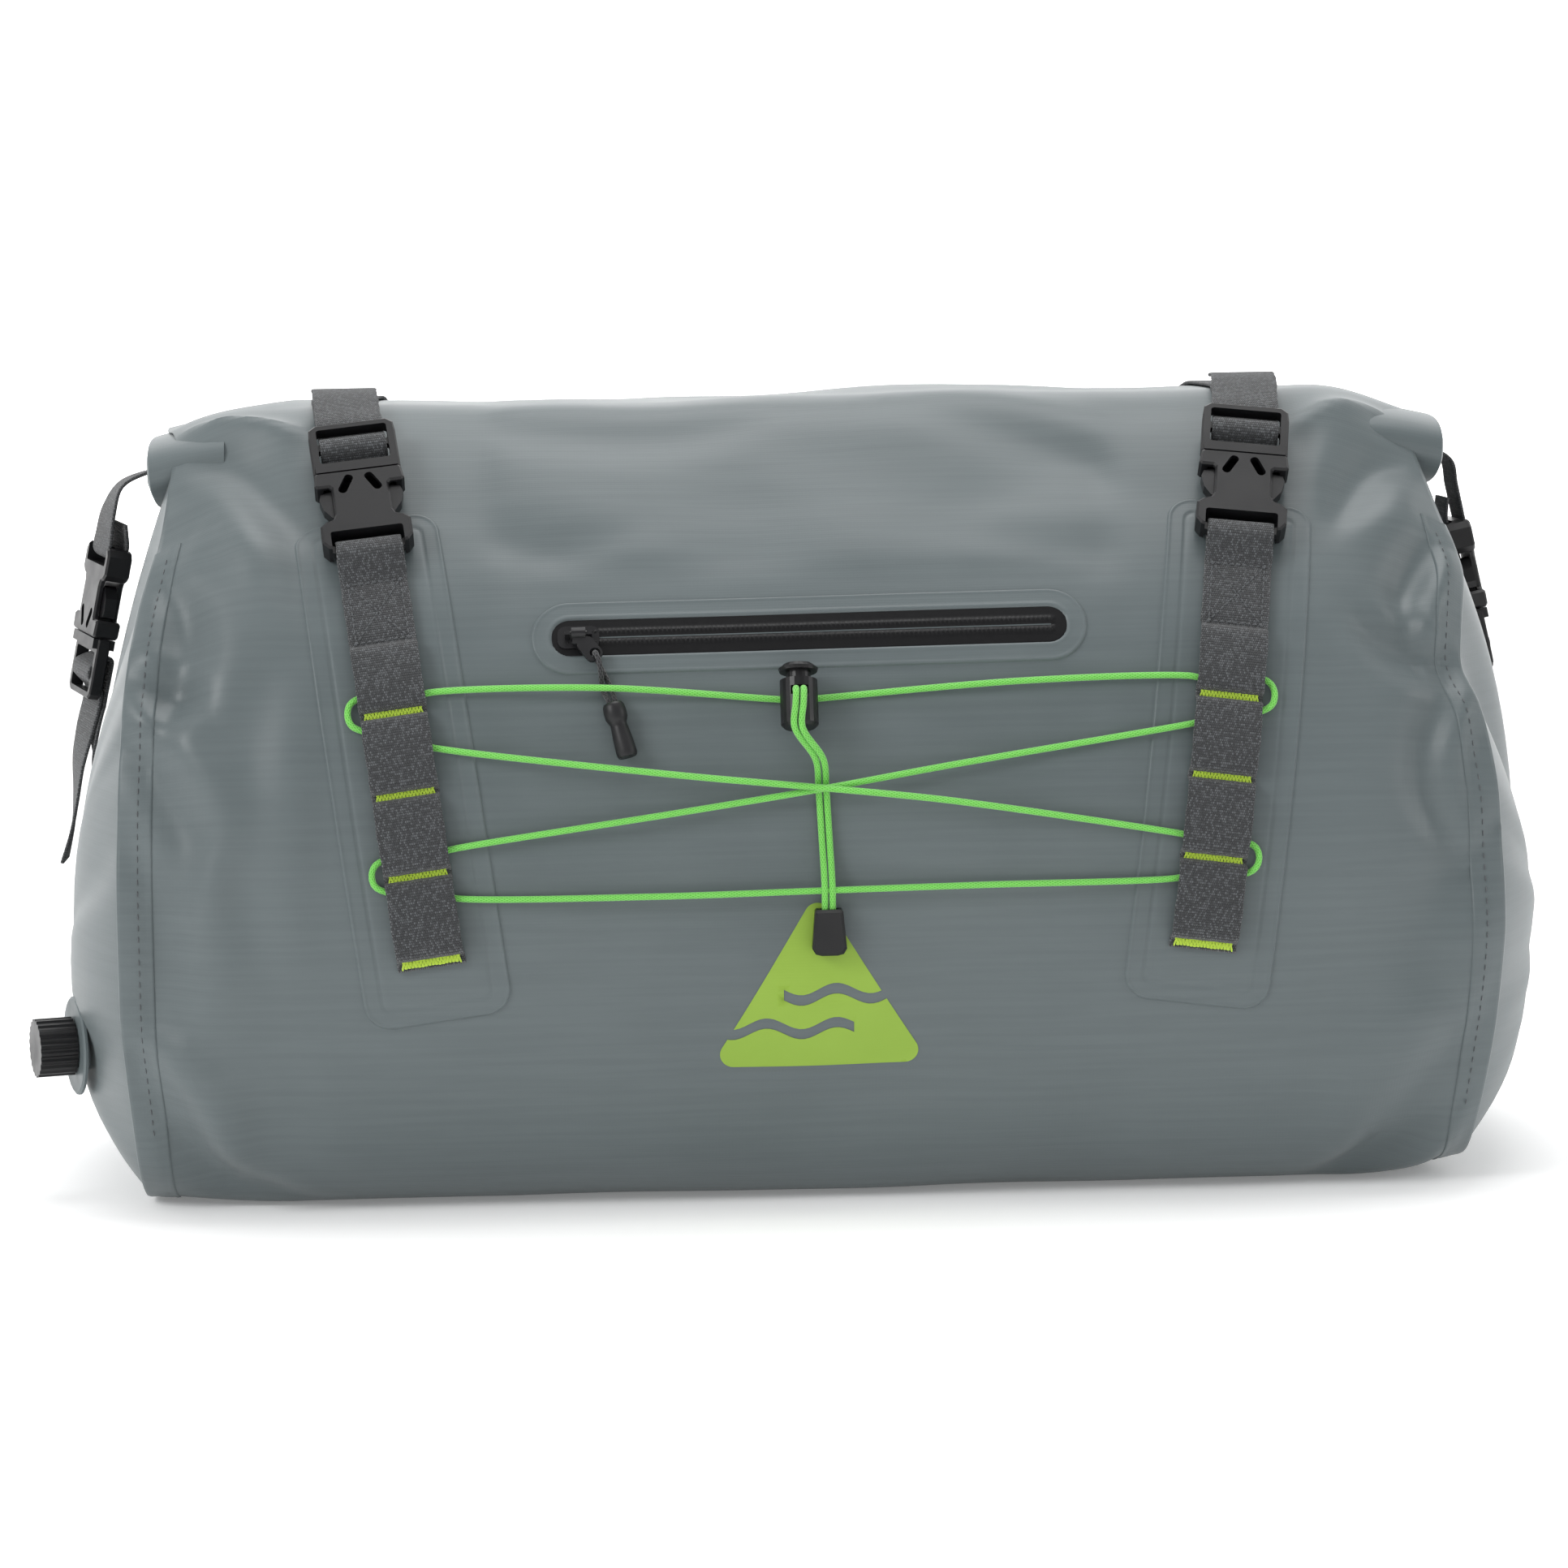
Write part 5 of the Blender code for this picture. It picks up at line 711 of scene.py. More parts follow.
# weld tape along the end seam, a little proud, with a pressed inner edge
def seamBand(name, side):
    s = np.linspace(pathS[0] + 0.03, frontEnd - 0.002, 300)
    across = [(0.2445, -0.0003), (0.2448, 0.0004), (0.2456, 0.0006), (0.2468, 0.0004), (0.2480, 0.0006),
              (0.2510, 0.0007),
              (0.2535, 0.0007), (0.2562, 0.0010), (0.2574, 0.0008), (0.2578, 0.0), (0.2575, -0.0012)]
    rows = [bagPoints(np.full(s.shape, side * x), s, h) for x, h in across]
    uvs = [np.stack([np.full(s.shape, x), s], axis=1) for x, h in across]
    obj = gridMesh(name, np.array(rows), np.array(uvs), "tarpaulin")
    lowest = min(obj.data.polygons, key=lambda f: f.center.z)
    if lowest.normal.z > 0:
        obj.data.flip_normals()
    return finish(obj, "bag", "tarpaulin", f"seam_tape_{'left' if side < 0 else 'right'}")


roll = {"turns": 2.25, "pitch": 0.0052, "thick": 0.0019, "depth": 0.030}


# the turns of the roll that show at its end, as one spiral strip
def rollEnd(name, side):
    steps = int(roll["turns"] * 60)
    outer, inner = [], []
    for k in range(steps + 1):
        turn = roll["turns"] * k / steps
        angle = -math.pi / 2 + math.tau * (turn - roll["turns"])
        depth = roll["pitch"] * (roll["turns"] - turn) + 0.0022
        wobble = 0.0007 * math.sin(angle * 3 + 1.7 * side) * (1 - turn / roll["turns"])
        for line, extra in ((outer, 0.0), (inner, roll["thick"])):
            reach, half = bag["rollReach"] - depth - extra, bag["rollHalf"] - depth - extra + wobble
            c, n = math.cos(angle), math.sin(angle)
            line.append((reach * math.copysign(abs(c) ** 0.75, c),
                         bag["rollHeight"] + half * math.copysign(abs(n) ** 0.75, n)))
    outline = np.array(outer + inner[::-1])
    rows, uvs = [], []
    for t in np.linspace(0, 1, 8):
        x = bag["rollHalfLength"] - roll["depth"] * (1 - t) - 0.0012 * t**4
        share = ((x - bag["straightHalf"]) / (bag["halfLength"] - bag["straightHalf"])) ** 2
        lean = 0.0012 * np.sin(np.arange(len(outline)) * 0.13) * t
        rows.append(np.stack([side * (x + lean), outline[:, 0] * (1 - 0.04 * share),
                              outline[:, 1] - bag["rollDroop"] * share], axis=1))
        uvs.append(np.stack([np.full(len(outline), x), np.arange(len(outline)) * 0.004], axis=1))
    obj = gridMesh(name, np.array(rows), np.array(uvs), "tarpaulin", wrapAcross=True)
    work = bmesh.new()
    work.from_mesh(obj.data)
    work.verts.ensure_lookup_table()
    count = len(outline)
    for base in (0, 7 * count):
        for j in range(steps):
            work.faces.new([work.verts[base + q] for q in (j, j + 1, count - 2 - j, count - 1 - j)])
    bmesh.ops.recalc_face_normals(work, faces=work.faces)
    work.to_mesh(obj.data)
    work.free()
    obj.data.shade_smooth()
    obj.data.set_sharp_from_angle(angle=math.radians(40))
    return finish(obj, "bag", "tarpaulin")


bagShell()
for side, word in ((-1, "Left"), (1, "Right")):
    endPanel(f"endPanel{word}", side)
    seamBand(f"seamBand{word}", side)
    rollEnd(f"rollEnd{word}", side)
print("bag fabric made")


# welded plates on the fabric

# how far inside a round-cornered rectangle a place is
def edgeDistance(a, b, width, length, corner):
    qa, qb = np.abs(a) - (width / 2 - corner), np.abs(b) - (length / 2 - corner)
    outside = np.hypot(np.maximum(qa, 0), np.maximum(qb, 0))
    return corner - outside - np.minimum(np.maximum(qa, qb), 0)


# a thin welded plate: profile gives its height from how far inside the edge a place is
def plate(name, look, centre, turn, width, length, corner, profile, cells=(60, 120)):
    def spread(count, size, dense):
        t = np.linspace(-1, 1, count)
        return np.sign(t) * (1 - (1 - np.abs(t)) ** dense) * size / 2
    b = spread(cells[1], length, 1.35)
    reach = np.abs(b) - (length / 2 - corner)
    half = width / 2 - corner + np.sqrt(np.maximum(corner**2 - np.maximum(reach, 0) ** 2, 1e-10))
    t = np.linspace(-1, 1, cells[0])
    t = np.sign(t) * (1 - (1 - np.abs(t)) ** 1.5)
    a = half[:, None] * t[None, :]
    b = np.broadcast_to(b[:, None], a.shape)
    h = profile(a, b, edgeDistance(a, b, width, length, corner))
    c, n = math.cos(turn), math.sin(turn)
    x, s = centre[0] + c * a - n * b, centre[1] + n * a + c * b
    points = bagPoints(x, s, h)
    obj = gridMesh(name, points, np.stack([x, s], axis=-1), look)
    face = obj.data.polygons[len(obj.data.polygons) // 2]
    facing = -1 if centre[1] > 0 else 1
    if face.normal.y * facing < 0:
        obj.data.flip_normals()
    return obj


strap = {"lean": math.radians(7.5), "x": 0.1445, "xHeight": 0.110, "tacks": (0.0985, 0.1300, 0.1595, 0.1885),
         "tackHalf": 0.0012, "rise": 0.0046, "boxLow": 0.2125, "boxHigh": 0.2350, "end": 0.0960,
         "patchWidth": 0.055, "patchLow": 0.075, "patchHigh": 0.2585}


def strapX(height):
    return strap["x"] + (sAt(height) - sAt(strap["xHeight"])) * math.tan(strap["lean"])


# rounded rim, then a pressed line round the weld
def patchProfile(a, b, inside):
    h = 0.0008 * smooth(inside / 0.0007) - 0.0001
    line = np.exp(-((inside - 0.0072) / 0.00055) ** 2)
    outer = np.exp(-((inside - 0.0010) / 0.0006) ** 2)
    return h - 0.00042 * line + 0.00022 * outer


for side, word in ((-1, "Left"), (1, "Right")):
    low, high = sAt(strap["patchLow"]), sAt(strap["patchHigh"])
    for face, name in ((1, "front"), (-1, "rear")):
        centre = (side * (strapX(strap["patchLow"]) + strapX(strap["patchHigh"])) / 2,
                  face * (low + high) / 2)
        obj = plate(f"{name}Patch{word}", "tarpaulin", centre, -face * side * strap["lean"],
                    strap["patchWidth"],
                    (high - low) / math.cos(strap["lean"]), 0.010, patchProfile, (70, 150))
        finish(obj, "bag", "tarpaulin", f"{name}_patch_{word.lower()}")

zipper = {"height": 0.2155, "tilt": math.radians(0.6), "length": 0.193, "width": 0.015, "margin": 0.0075}


# the weld round the window: a low rim, sunk where the tape shows
def zipSurround(a, b, inside):
    h = 0.0008 * smooth(inside / 0.0008) - 0.0001
    line = np.exp(-((inside - 0.0012) / 0.0006) ** 2)
    window = smooth((inside - zipper["margin"] + 0.0001) / 0.0004)
    lip = np.exp(-((inside - zipper["margin"] + 0.0009) / 0.0007) ** 2)
    return (h + 0.00018 * line + 0.00022 * lip) * (1 - window) + 0.00002 * window


# film over the coil: two ridges beside a slit
def zipTape(a, b, inside):
    ends = smooth((zipper["length"] / 2 - 0.004 - np.abs(a)) / 0.003)
    ridge = np.exp(-((np.abs(b) - 0.0021) / 0.0010) ** 2) * 0.00055
    slit = np.exp(-(b / 0.00035) ** 2) * 0.0006
    teeth = 0.00016 * np.cos(math.tau * a / 0.0017) * np.exp(-((np.abs(b) - 0.0021) / 0.0009) ** 2)
    return 0.0004 + (ridge - slit + teeth) * ends - 0.0004 * (1 - smooth(inside / 0.0005))


def zipPieces():
    centre = (0, sAt(zipper["height"]))
    obj = plate("zipSurround", "tarpaulin", centre, zipper["tilt"], zipper["length"] + 2 * zipper["margin"],
                zipper["width"] + 2 * zipper["margin"],
                (zipper["width"] + 2 * zipper["margin"]) / 2 - 0.0001, zipSurround, (220, 90))
    finish(obj, "bag", "tarpaulin", "zip_patch")
    obj = plate("zipTape", "zipFilm", centre, zipper["tilt"], zipper["length"], zipper["width"],
                zipper["width"] / 2 - 0.0001, zipTape, (900, 64))
    finish(obj, "bag", "zip_tape", "zip_tape_upper", "zip_tape_lower")


zipPieces()
print("welded plates made")


# webbing

# a woven band along points, with the way its width runs at each
def webbingBand(name, points, across, width=webWidth, thick=webThick, step=0.0009, look="webbing"):
    line, where, reach = smoothLine(points, step)
    across = np.array([tuple(Vector(a).normalized()) for a in across])
    side = np.stack([np.interp(where, np.arange(len(across)), across[:, i]) for i in range(3)], axis=1)
    ways = np.gradient(line, axis=0)
    ways /= np.linalg.norm(ways, axis=1)[:, None]
    side -= ways * (side * ways).sum(1)[:, None]
    side /= np.linalg.norm(side, axis=1)[:, None]
    up = np.cross(side, ways)
    half, t = width / 2, thick / 2
    profile = [(-1, -0.45), (-0.97, -0.9), (-0.90, -1.0), (-0.5, -1.0), (0, -1.0), (0.5, -1.0),
               (0.90, -1.0), (0.97, -0.9), (1, -0.45),
               (1, 0.45), (0.97, 0.9), (0.90, 1.0), (0.5, 1.0), (0, 1.0), (-0.5, 1.0), (-0.90, 1.0),
               (-0.97, 0.9), (-1, 0.45)]
    sway = 0.00012 * np.sin(reach / 0.0031 + len(name)) + 0.00008 * np.sin(reach / 0.0013)
    rows = [line + side * (u * (half + sway))[:, None] + up * (w * t) for u, w in profile]
    uvs = [np.stack([np.full(len(line), u * half + (0.05 if w > 0 else 0)), reach], axis=1) for u,
           w in profile]
    obj = gridMesh(name, np.array(rows).transpose(1, 0, 2), np.array(uvs).transpose(1, 0, 2), look,
                   wrapAcross=True, closeEnds=True)
    closedOutward(obj)
    obj.data.shade_smooth()
    return obj


def axisFrame(origin, across, along, out):
    matrix = Matrix((across, along, out)).transposed().to_4x4()
    matrix.translation = origin
    return matrix


def mirrored(origin, across, along, out):
    flip = Vector((-1, 1, 1))
    return axisFrame(Vector(origin) * flip, -(Vector(across) * flip), Vector(along) * flip,
                     Vector(out) * flip)


# frames of the buckles: across, along towards the male half, and out
leftFront = ((-0.16723, -0.09158, 0.27034), (0.99144, 0.08308, 0.10067), (-0.13053, 0.63109, 0.76465),
             (0.0, -0.77125, 0.63653))
buckles = {
    "front_left": axisFrame(*leftFront),
    "front_right": mirrored(*leftFront),
    "left_end": axisFrame((-0.276, 0.0, 0.217), (-0.33455, 0.93969, 0.07111), (-0.20791, 0.0, -0.97815),
                          (-0.91916, -0.34202, 0.19537)),
    "right_end": axisFrame((0.269, 0.0, 0.217), (0.0, -1.0, 0.0), (0.20791, 0.0, -0.97815),
                           (0.97815, 0.0, 0.20791)),
}
barV, loopRadius = -0.0283, 0.0034
adjuster = ((0.0340, -0.0037), (0.0290, -0.0037), (0.0272, -0.0032), (0.0262, -0.0022), (0.0232, 0.0017),
            (0.0222, 0.0025),
            (0.0184, 0.0025), (0.0174, 0.0016), (0.0146, -0.0030), (0.0138, -0.0046), (0.0143, -0.0055),
            (0.0154, -0.0058), (0.0340, -0.0058))


def barLoop(matrix):
    clear = barV - 0.0030
    points = [matrix @ Vector((0, clear, loopRadius))]
    for angle in range(90, -91, -18):
        a = math.radians(angle)
        points.append(matrix @ Vector((0, barV + loopRadius * math.cos(a), loopRadius * math.sin(a))))
    return points + [matrix @ Vector((0, clear, -loopRadius))]


onPatch = 2 * gap + patchFabric + webThick / 2 + 0.0002


# heights and stands of the outer layer, which bows out between its bar tacks
def chainPath():
    points = [(strap["end"], onPatch)]
    loops = list(zip(strap["tacks"], strap["tacks"][1:])) + [(strap["tacks"][-1],
                                                              strap["boxLow"] + strap["tackHalf"])]
    for low, high in loops:
        low, high = low + strap["tackHalf"], high - strap["tackHalf"]
        points += [(low, onPatch), (low + 0.0016, onPatch + 0.78 * strap["rise"])]
        points += [(low + (high - low) * t, onPatch + strap["rise"] * k) for t,
                   k in ((0.2, 0.97), (0.5, 1.06), (0.8, 0.97))]
        points += [(high - 0.0016, onPatch + 0.78 * strap["rise"]), (high, onPatch)]
    return points


def strapPlace(side, height, stand):
    s = sAt(height)
    level = Vector((math.cos(strap["lean"]), 0, 0))
    lift = frontAxes(s)[0] * side * math.sin(strap["lean"])
    return bagPoint(side * strapX(height), s, stand), level - lift


def daisyStrap(side, word):
    matrix = buckles[f"front_{word}"]
    second = onPatch + webThick + gap
    box = np.linspace(strap["boxLow"], strap["boxHigh"], 7)
    placed = [strapPlace(side, height, stand) for height,
              stand in chainPath()[:-1] + [(z, second) for z in box]]
    placed += [(point, matrix.to_3x3() @ Vector((1, 0, 0))) for point in barLoop(matrix)]
    placed += [strapPlace(side, height, onPatch) for height in list(box[:0:-1]) + [strap["boxLow"] + 0.0018]]
    obj = webbingBand(f"daisyStrap{word.title()}", [p for p, _ in placed], [a for _, a in placed])
    return finish(obj, "bag", "webbing", f"daisy_strap_{word}")


def hull(start, obstacles):
    chain = []
    for point in sorted([start] + [p for p in obstacles if p.x > start.x], key=lambda p: p.x):
        while len(chain) > 1 and (chain[-1] - chain[-2]).cross(point - chain[-2]) >= 0:
            chain.pop()
        chain.append(point)
    return chain


# from its tail through the adjuster, over the roll and down the rear
def topStrap(side, word):
    matrix = buckles[f"front_{word}"]
    rearLow, rearHigh = 0.120, 0.235
    stand = webThick / 2 + 0.0006
    obstacles = []
    for s in np.arange(frontEnd, pathS[-1] - 0.03, 0.004):
        p = bagPoint(0.16, s, stand, True)
        obstacles.append(Vector((p.y, p.z)))
    for z in np.linspace(rearHigh, 0.2595, 8):
        p = bagPoint(0.16, -sAt(z), onPatch, True)
        obstacles.append(Vector((p.y, p.z)))
    inBuckle = [matrix @ Vector((0, v, w)) for v, w in adjuster]
    start = inBuckle[-1]
    corners = hull(Vector((start.y, start.z)), obstacles)
    line = [corners[0]]
    for a, b in zip(corners, corners[1:]):
        pieces = max(1, round((b - a).length / 0.012))
        line += [a.lerp(b, k / pieces) for k in range(1, pieces + 1)]
    main, x = [start], start.x
    for a, b in zip(line, line[1:]):
        lean = strap["lean"] * max(-1.0, min(1.0, -(a.x + b.x) / 2 / bag["rollReach"]))
        x += side * (b - a).length * math.tan(lean)
        main.append(Vector((x, b.x, b.y)))
    lift, walked, tail = 0.0023, 0.0, []
    for i in range(1, len(line) - 1):
        walked += (line[i] - line[i - 1]).length
        if walked > 0.045:
            break
        way = (line[i + 1] - line[i - 1]).normalized()
        rise = lift + 0.0022 * math.sin(walked / 0.045 * 2.4)
        tail.append(Vector((main[i].x, line[i].x - way.y * rise, line[i].y + way.x * rise)))
    points = tail[::-1] + inBuckle + main[1:]
    down = main[-1]
    slope = -side * math.tan(strap["lean"])
    low, high = sAt(rearLow), sAt(rearHigh)
    for s in np.arange(high - 0.008, low, -0.008):
        p = bagPoint(0.15, -s, onPatch)
        points.append(Vector((down.x + slope * (high - s), p.y, p.z)))
    across = []
    for i in range(len(points)):
        if len(tail) <= i < len(tail) + len(inBuckle):
            across.append(matrix.to_3x3() @ Vector((1, 0, 0)))
            continue
        way = points[min(len(points) - 1, i + 1)] - points[max(0, i - 1)]
        level = Vector((1, 0, 0)) - way * way.x / way.length_squared
        across.append(level if level.x > 0 else -level)
    obj = webbingBand(f"topStrap{word.title()}", points, across)
    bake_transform(obj)
    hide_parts(f"top_strap_{word}")
    return obj


def endTab(side, word):
    matrix = buckles[f"{word}_end"]
    start = 0.19 + gap
    level = []
    for x in (start, 0.215, 0.235, bag["rollHalfLength"] + 0.002):
        share = ((max(x, 0.195) - 0.195) / (bag["halfLength"] - 0.195)) ** 2
        level.append(Vector((side * x, 0, bag["rollHeight"] - bag["rollDroop"] * share)))
    loop = barLoop(matrix)
    alongWay, outWay = matrix.to_3x3() @ Vector((0, 1, 0)), matrix.to_3x3() @ Vector((0, 0, 1))
    shoulder = loop[0] - alongWay * 0.012
    shoulder.y *= 0.6
    bend = level[-1].lerp(shoulder, 0.55) + Vector((side * 0.003, 0, 0.003))
    back = loop[-1] - alongWay * 0.008 + outWay * 0.0022
    points = level + [bend, shoulder] + loop + [back]
    wide = matrix.to_3x3() @ Vector((1, 0, 0))
    wide = -wide if wide.y < 0 else wide
    y = Vector((0, 1, 0))
    across = [y] * len(level) + [y.lerp(wide, 0.4), y.lerp(wide, 0.8)] + [wide] * (len(loop) + 1)
    obj = webbingBand(f"endTab{word.title()}", points, across)
    return finish(obj, "bag", "webbing", f"end_tab_{word}")


# the dome of the end panel on the middle plane
def endSurface(side, height):
    top = bagPoint(side * bag["halfLength"], pathS[0], -0.0012, True)
    full = top.z - bag["hubHeight"]
    share = min(1.0, max(0.0, (height - bag["hubHeight"]) / full))
    return Vector((side * bag["halfLength"] * (1 - share) + top.x * share
                   + side * bag["bulge"] * (1 - share**1.8), 0, height))


def endStrap(side, word):
    matrix = buckles[f"{word}_end"]
    inBuckle = [matrix @ Vector((0, v, w)) for v, w in adjuster]
    alongWay, outWay = matrix.to_3x3() @ Vector((0, 1, 0)), matrix.to_3x3() @ Vector((0, 0, 1))
    bend = inBuckle[0] + alongWay * 0.009 + outWay * 0.0006
    tail = []
    for k in (4, 3, 2, 1):
        reach = 0.053 * k / 4
        tail.append(bend + Vector((side * 0.0024 * k + side * 0.0008 * math.sin(k * 1.7), 0, -reach)))
    tail.append(bend)
    main = []
    top = inBuckle[-1].z - 0.020
    for k in range(8):
        height = top + (0.105 - top) * k / 7
        slope = endSurface(side, height + 0.001) - endSurface(side, height - 0.001)
        normal = Vector((slope.z, 0, -slope.x)).normalized() * side
        main.append(endSurface(side, height) + normal * (0.0019 + (0.0022 if k == 0 else 0)))
    points = tail + inBuckle + main
    wide = matrix.to_3x3() @ Vector((1, 0, 0))
    wide = -wide if wide.y < 0 else wide
    y = Vector((0, 1, 0))
    across = [y, y.lerp(wide, 0.2), y.lerp(wide, 0.45), y.lerp(wide, 0.75)] + [wide] * (1 + len(inBuckle))
    across += [y.lerp(wide, 0.25)] + [y] * (len(main) - 1)
    obj = webbingBand(f"endStrap{word.title()}", points, across)
    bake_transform(obj)
    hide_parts(f"end_strap_{word}")
    return obj


for side, word in ((-1, "left"), (1, "right")):
    daisyStrap(side, word)
    topStrap(side, word)
    endTab(side, word)
    endStrap(side, word)
print("webbing made")


# stitches: a curve carries stitches at an even pitch

# geometry nodes: resample a curve, set a short thread on each step, and keep it as a mesh
def stitchTree(name):
    tree = bpy.data.node_groups.new(name, "GeometryNodeTree")
    face = tree.interface
    face.new_socket("Geometry", in_out="INPUT", socket_type="NodeSocketGeometry")
    for label, value in (("Pitch", 0.0025), ("Stitch length", 0.0020), ("Thread radius", 0.0003)):
        face.new_socket(label, in_out="INPUT", socket_type="NodeSocketFloat").default_value = value
    face.new_socket("Thread", in_out="INPUT", socket_type="NodeSocketMaterial")
    face.new_socket("Geometry", in_out="OUTPUT", socket_type="NodeSocketGeometry")
    source = tree.nodes.new("NodeGroupInput")
    result = tree.nodes.new("NodeGroupOutput")
    even = addNode(tree, "GeometryNodeResampleCurve", {"mode": "LENGTH"},
                   {"Curve": source.outputs[0], "Length": source.outputs["Pitch"]})
    bead = addNode(tree, "GeometryNodeMeshUVSphere", {"Segments": 8, "Rings": 6, "Radius": 1.0})
    halfLength = addNode(tree, "ShaderNodeMath", {"operation": "MULTIPLY", 1: 0.5},
                         {0: source.outputs["Stitch length"]})
    size = addNode(tree, "ShaderNodeCombineXYZ",
            links={0: source.outputs["Thread radius"], 1: source.outputs["Thread radius"],
                   2: halfLength.outputs[0]})
    tangent = tree.nodes.new("GeometryNodeInputTangent")
    turn = addNode(tree, "FunctionNodeAlignRotationToVector", {"axis": "Z"}, {"Vector": tangent.outputs[0]})
    on = addNode(tree, "GeometryNodeInstanceOnPoints",
            links={"Points": even.outputs[0], "Instance": bead.outputs[0], "Rotation": turn.outputs[0],
                   "Scale": size.outputs[0]})
    real = addNode(tree, "GeometryNodeRealizeInstances", links={0: on.outputs[0]})
    soft = addNode(tree, "GeometryNodeSetShadeSmooth", links={0: real.outputs[0]})
    done = addNode(tree, "GeometryNodeSetMaterial",
                   links={0: soft.outputs[0], "Material": source.outputs["Thread"]})
    tree.links.new(done.outputs[0], result.inputs[0])
    return tree


stitching = stitchTree("stitching")


# sets the tree's inputs by their identifiers, then keeps the result as a plain mesh
def bakeTree(obj, tree, values):
    step = obj.modifiers.new(tree.name, "NODES")
    step.node_group = tree
    for item in tree.interface.items_tree:
        if item.in_out == "INPUT" and item.name in values:
            step[item.identifier] = values[item.name]
    bpy.context.view_layer.update()
    graph = bpy.context.evaluated_depsgraph_get()
    mesh = bpy.data.meshes.new_from_object(obj.evaluated_get(graph), depsgraph=graph)
    mesh.name = obj.name
    return mesh


# rows of stitches along lists of points, as one piece
def stitchLines(name, lines, threadLook, pitch, length, radius, body="bag", slot="webbing"):
    curve = bpy.data.curves.new(name, "CURVE")
    curve.dimensions = "3D"
    for line in lines:
        spline = curve.splines.new("POLY")
        spline.points.add(len(line) - 1)
        for point, at in zip(spline.points, line):
            point.co = (*at, 1)
    carrier = bpy.data.objects.new(f"{name}Guide", curve)
    bpy.context.scene.collection.objects.link(carrier)
    mesh = bakeTree(carrier, stitching, {"Pitch": pitch, "Stitch length": length, "Thread radius": radius,
                                         "Thread": looks[threadLook]})
    bpy.data.objects.remove(carrier, do_unlink=True)
    obj = bpy.data.objects.new(name, mesh)
    bpy.context.scene.collection.objects.link(obj)
    return finish(obj, body, slot)


# a bar tack: thread that goes up and down across the strap
def zigzag(side, height, stand, width=0.0215, rows=17, reach=0.0011):
    points = []
    for k in range(rows * 2 + 1):
        u = -width / 2 + width * k / (rows * 2)
        place, across = strapPlace(side, height + (reach if k % 2 else -reach), stand)
        points.append(place + across * u)
    return points


def barTacks():
    for side, word in ((-1, "Left"), (1, "Right")):
        top = onPatch + webThick / 2 + 0.00015
        lines = [zigzag(side, z, top) for z in strap["tacks"]]
        lines.append(zigzag(side, strap["end"] + 0.0022, top))
        stitchLines(f"barTacks{word}", lines, "limeThread", 0.00075, 0.0014, 0.00036)


# a square with a cross in it, where the strap is sewn back on itself
def boxStitch():
    for side, word in ((-1, "Left"), (1, "Right")):
        stand = onPatch + webThick * 1.5 + gap + 0.0001
        low, high, half = strap["boxLow"] + 0.0012, strap["boxHigh"] - 0.0010, 0.0098

        def at(u, z):
            place, across = strapPlace(side, z, stand)
            return place + across * u

        def run(a, b, count=12):
            return [at(a[0] + (b[0] - a[0]) * k / count, a[1] + (b[1] - a[1]) * k / count)
                    for k in range(count + 1)]
        corners = [(-half, low), (half, low), (half, high), (-half, high), (-half, low)]
        lines = [run(a, b) for a, b in zip(corners, corners[1:])]
        lines += [run((-half, low), (half, high)), run((half, low), (-half, high))]
        stitchLines(f"boxStitch{word}", lines, "greyThread", 0.0024, 0.0019, 0.00032)


# needle marks of the end seams, set just inside the weld tape
def seamStitch():
    for side, word in ((-1, "Left"), (1, "Right")):
        s = np.linspace(sAt(0.03), frontEnd - 0.01, 160)
        lines = [[Vector(p) for p in bagPoints(np.full(s.shape, side * 0.2500), s * way, 0.00085)]
                 for way in (1, -1)]
        stitchLines(f"seamStitch{word}", lines, "greyThread", 0.0042, 0.0024, 0.00022, slot="tarpaulin")


barTacks()
boxStitch()
seamStitch()
print("stitches made")


# cords

def tubeMesh(name, points, radius, look, step=0.0009, sides=12, pinch=None):
    line, _, reach = smoothLine(points, step)
    ways = np.gradient(line, axis=0)
    ways /= np.linalg.norm(ways, axis=1)[:, None]
    up = Vector(ways[0]).orthogonal().normalized()
    rings, uvs = [], []
    for i, way in enumerate(ways):
        up = (up - Vector(way) * up.dot(Vector(way))).normalized()
        side = Vector(way).cross(up)
        size = radius * (pinch(i / (len(ways) - 1)) if pinch else 1)
        ring = [Vector(line[i]) + up * (size * math.cos(a)) + side * (size * math.sin(a))
                for a in np.arange(sides) * math.tau / sides]
        rings.append([tuple(p) for p in ring])
        uvs.append([(k / sides if k < sides else 1.0, reach[i]) for k in range(sides)])
    obj = gridMesh(name, np.array(rings), np.array(uvs), look, wrapAcross=True, closeEnds=True)
    fixWrap(obj)
    closedOutward(obj)
    obj.data.shade_smooth()
    return obj, reach[-1]


# the last strip of a tube runs on to 1 instead of back to 0
def fixWrap(obj):
    layer = obj.data.uv_layers["cloth"].data
    for face in obj.data.polygons:
        if face.loop_total != 4:
            continue
        us = [layer[i].uv[0] for i in face.loop_indices]
        if max(us) - min(us) > 0.5:
            for i in face.loop_indices:
                if layer[i].uv[0] < 0.25:
                    layer[i].uv[0] += 1.0


lace = {"diameter": 0.0025, "lockRadius": 0.0070, "lockHalf": 0.0090, "holeUp": 0.0040}
lockFrame = axisFrame((-0.0054, -0.14664, 0.19029), (1, 0, 0), (0, 0.9384, -0.34556), (0, 0.34556, 0.9384))
cordEndFrame = axisFrame((0.004, -0.15225, 0.10618), (1, 0, 0), (0, -0.0298, 0.99956), (0, -0.99956, -0.0298))


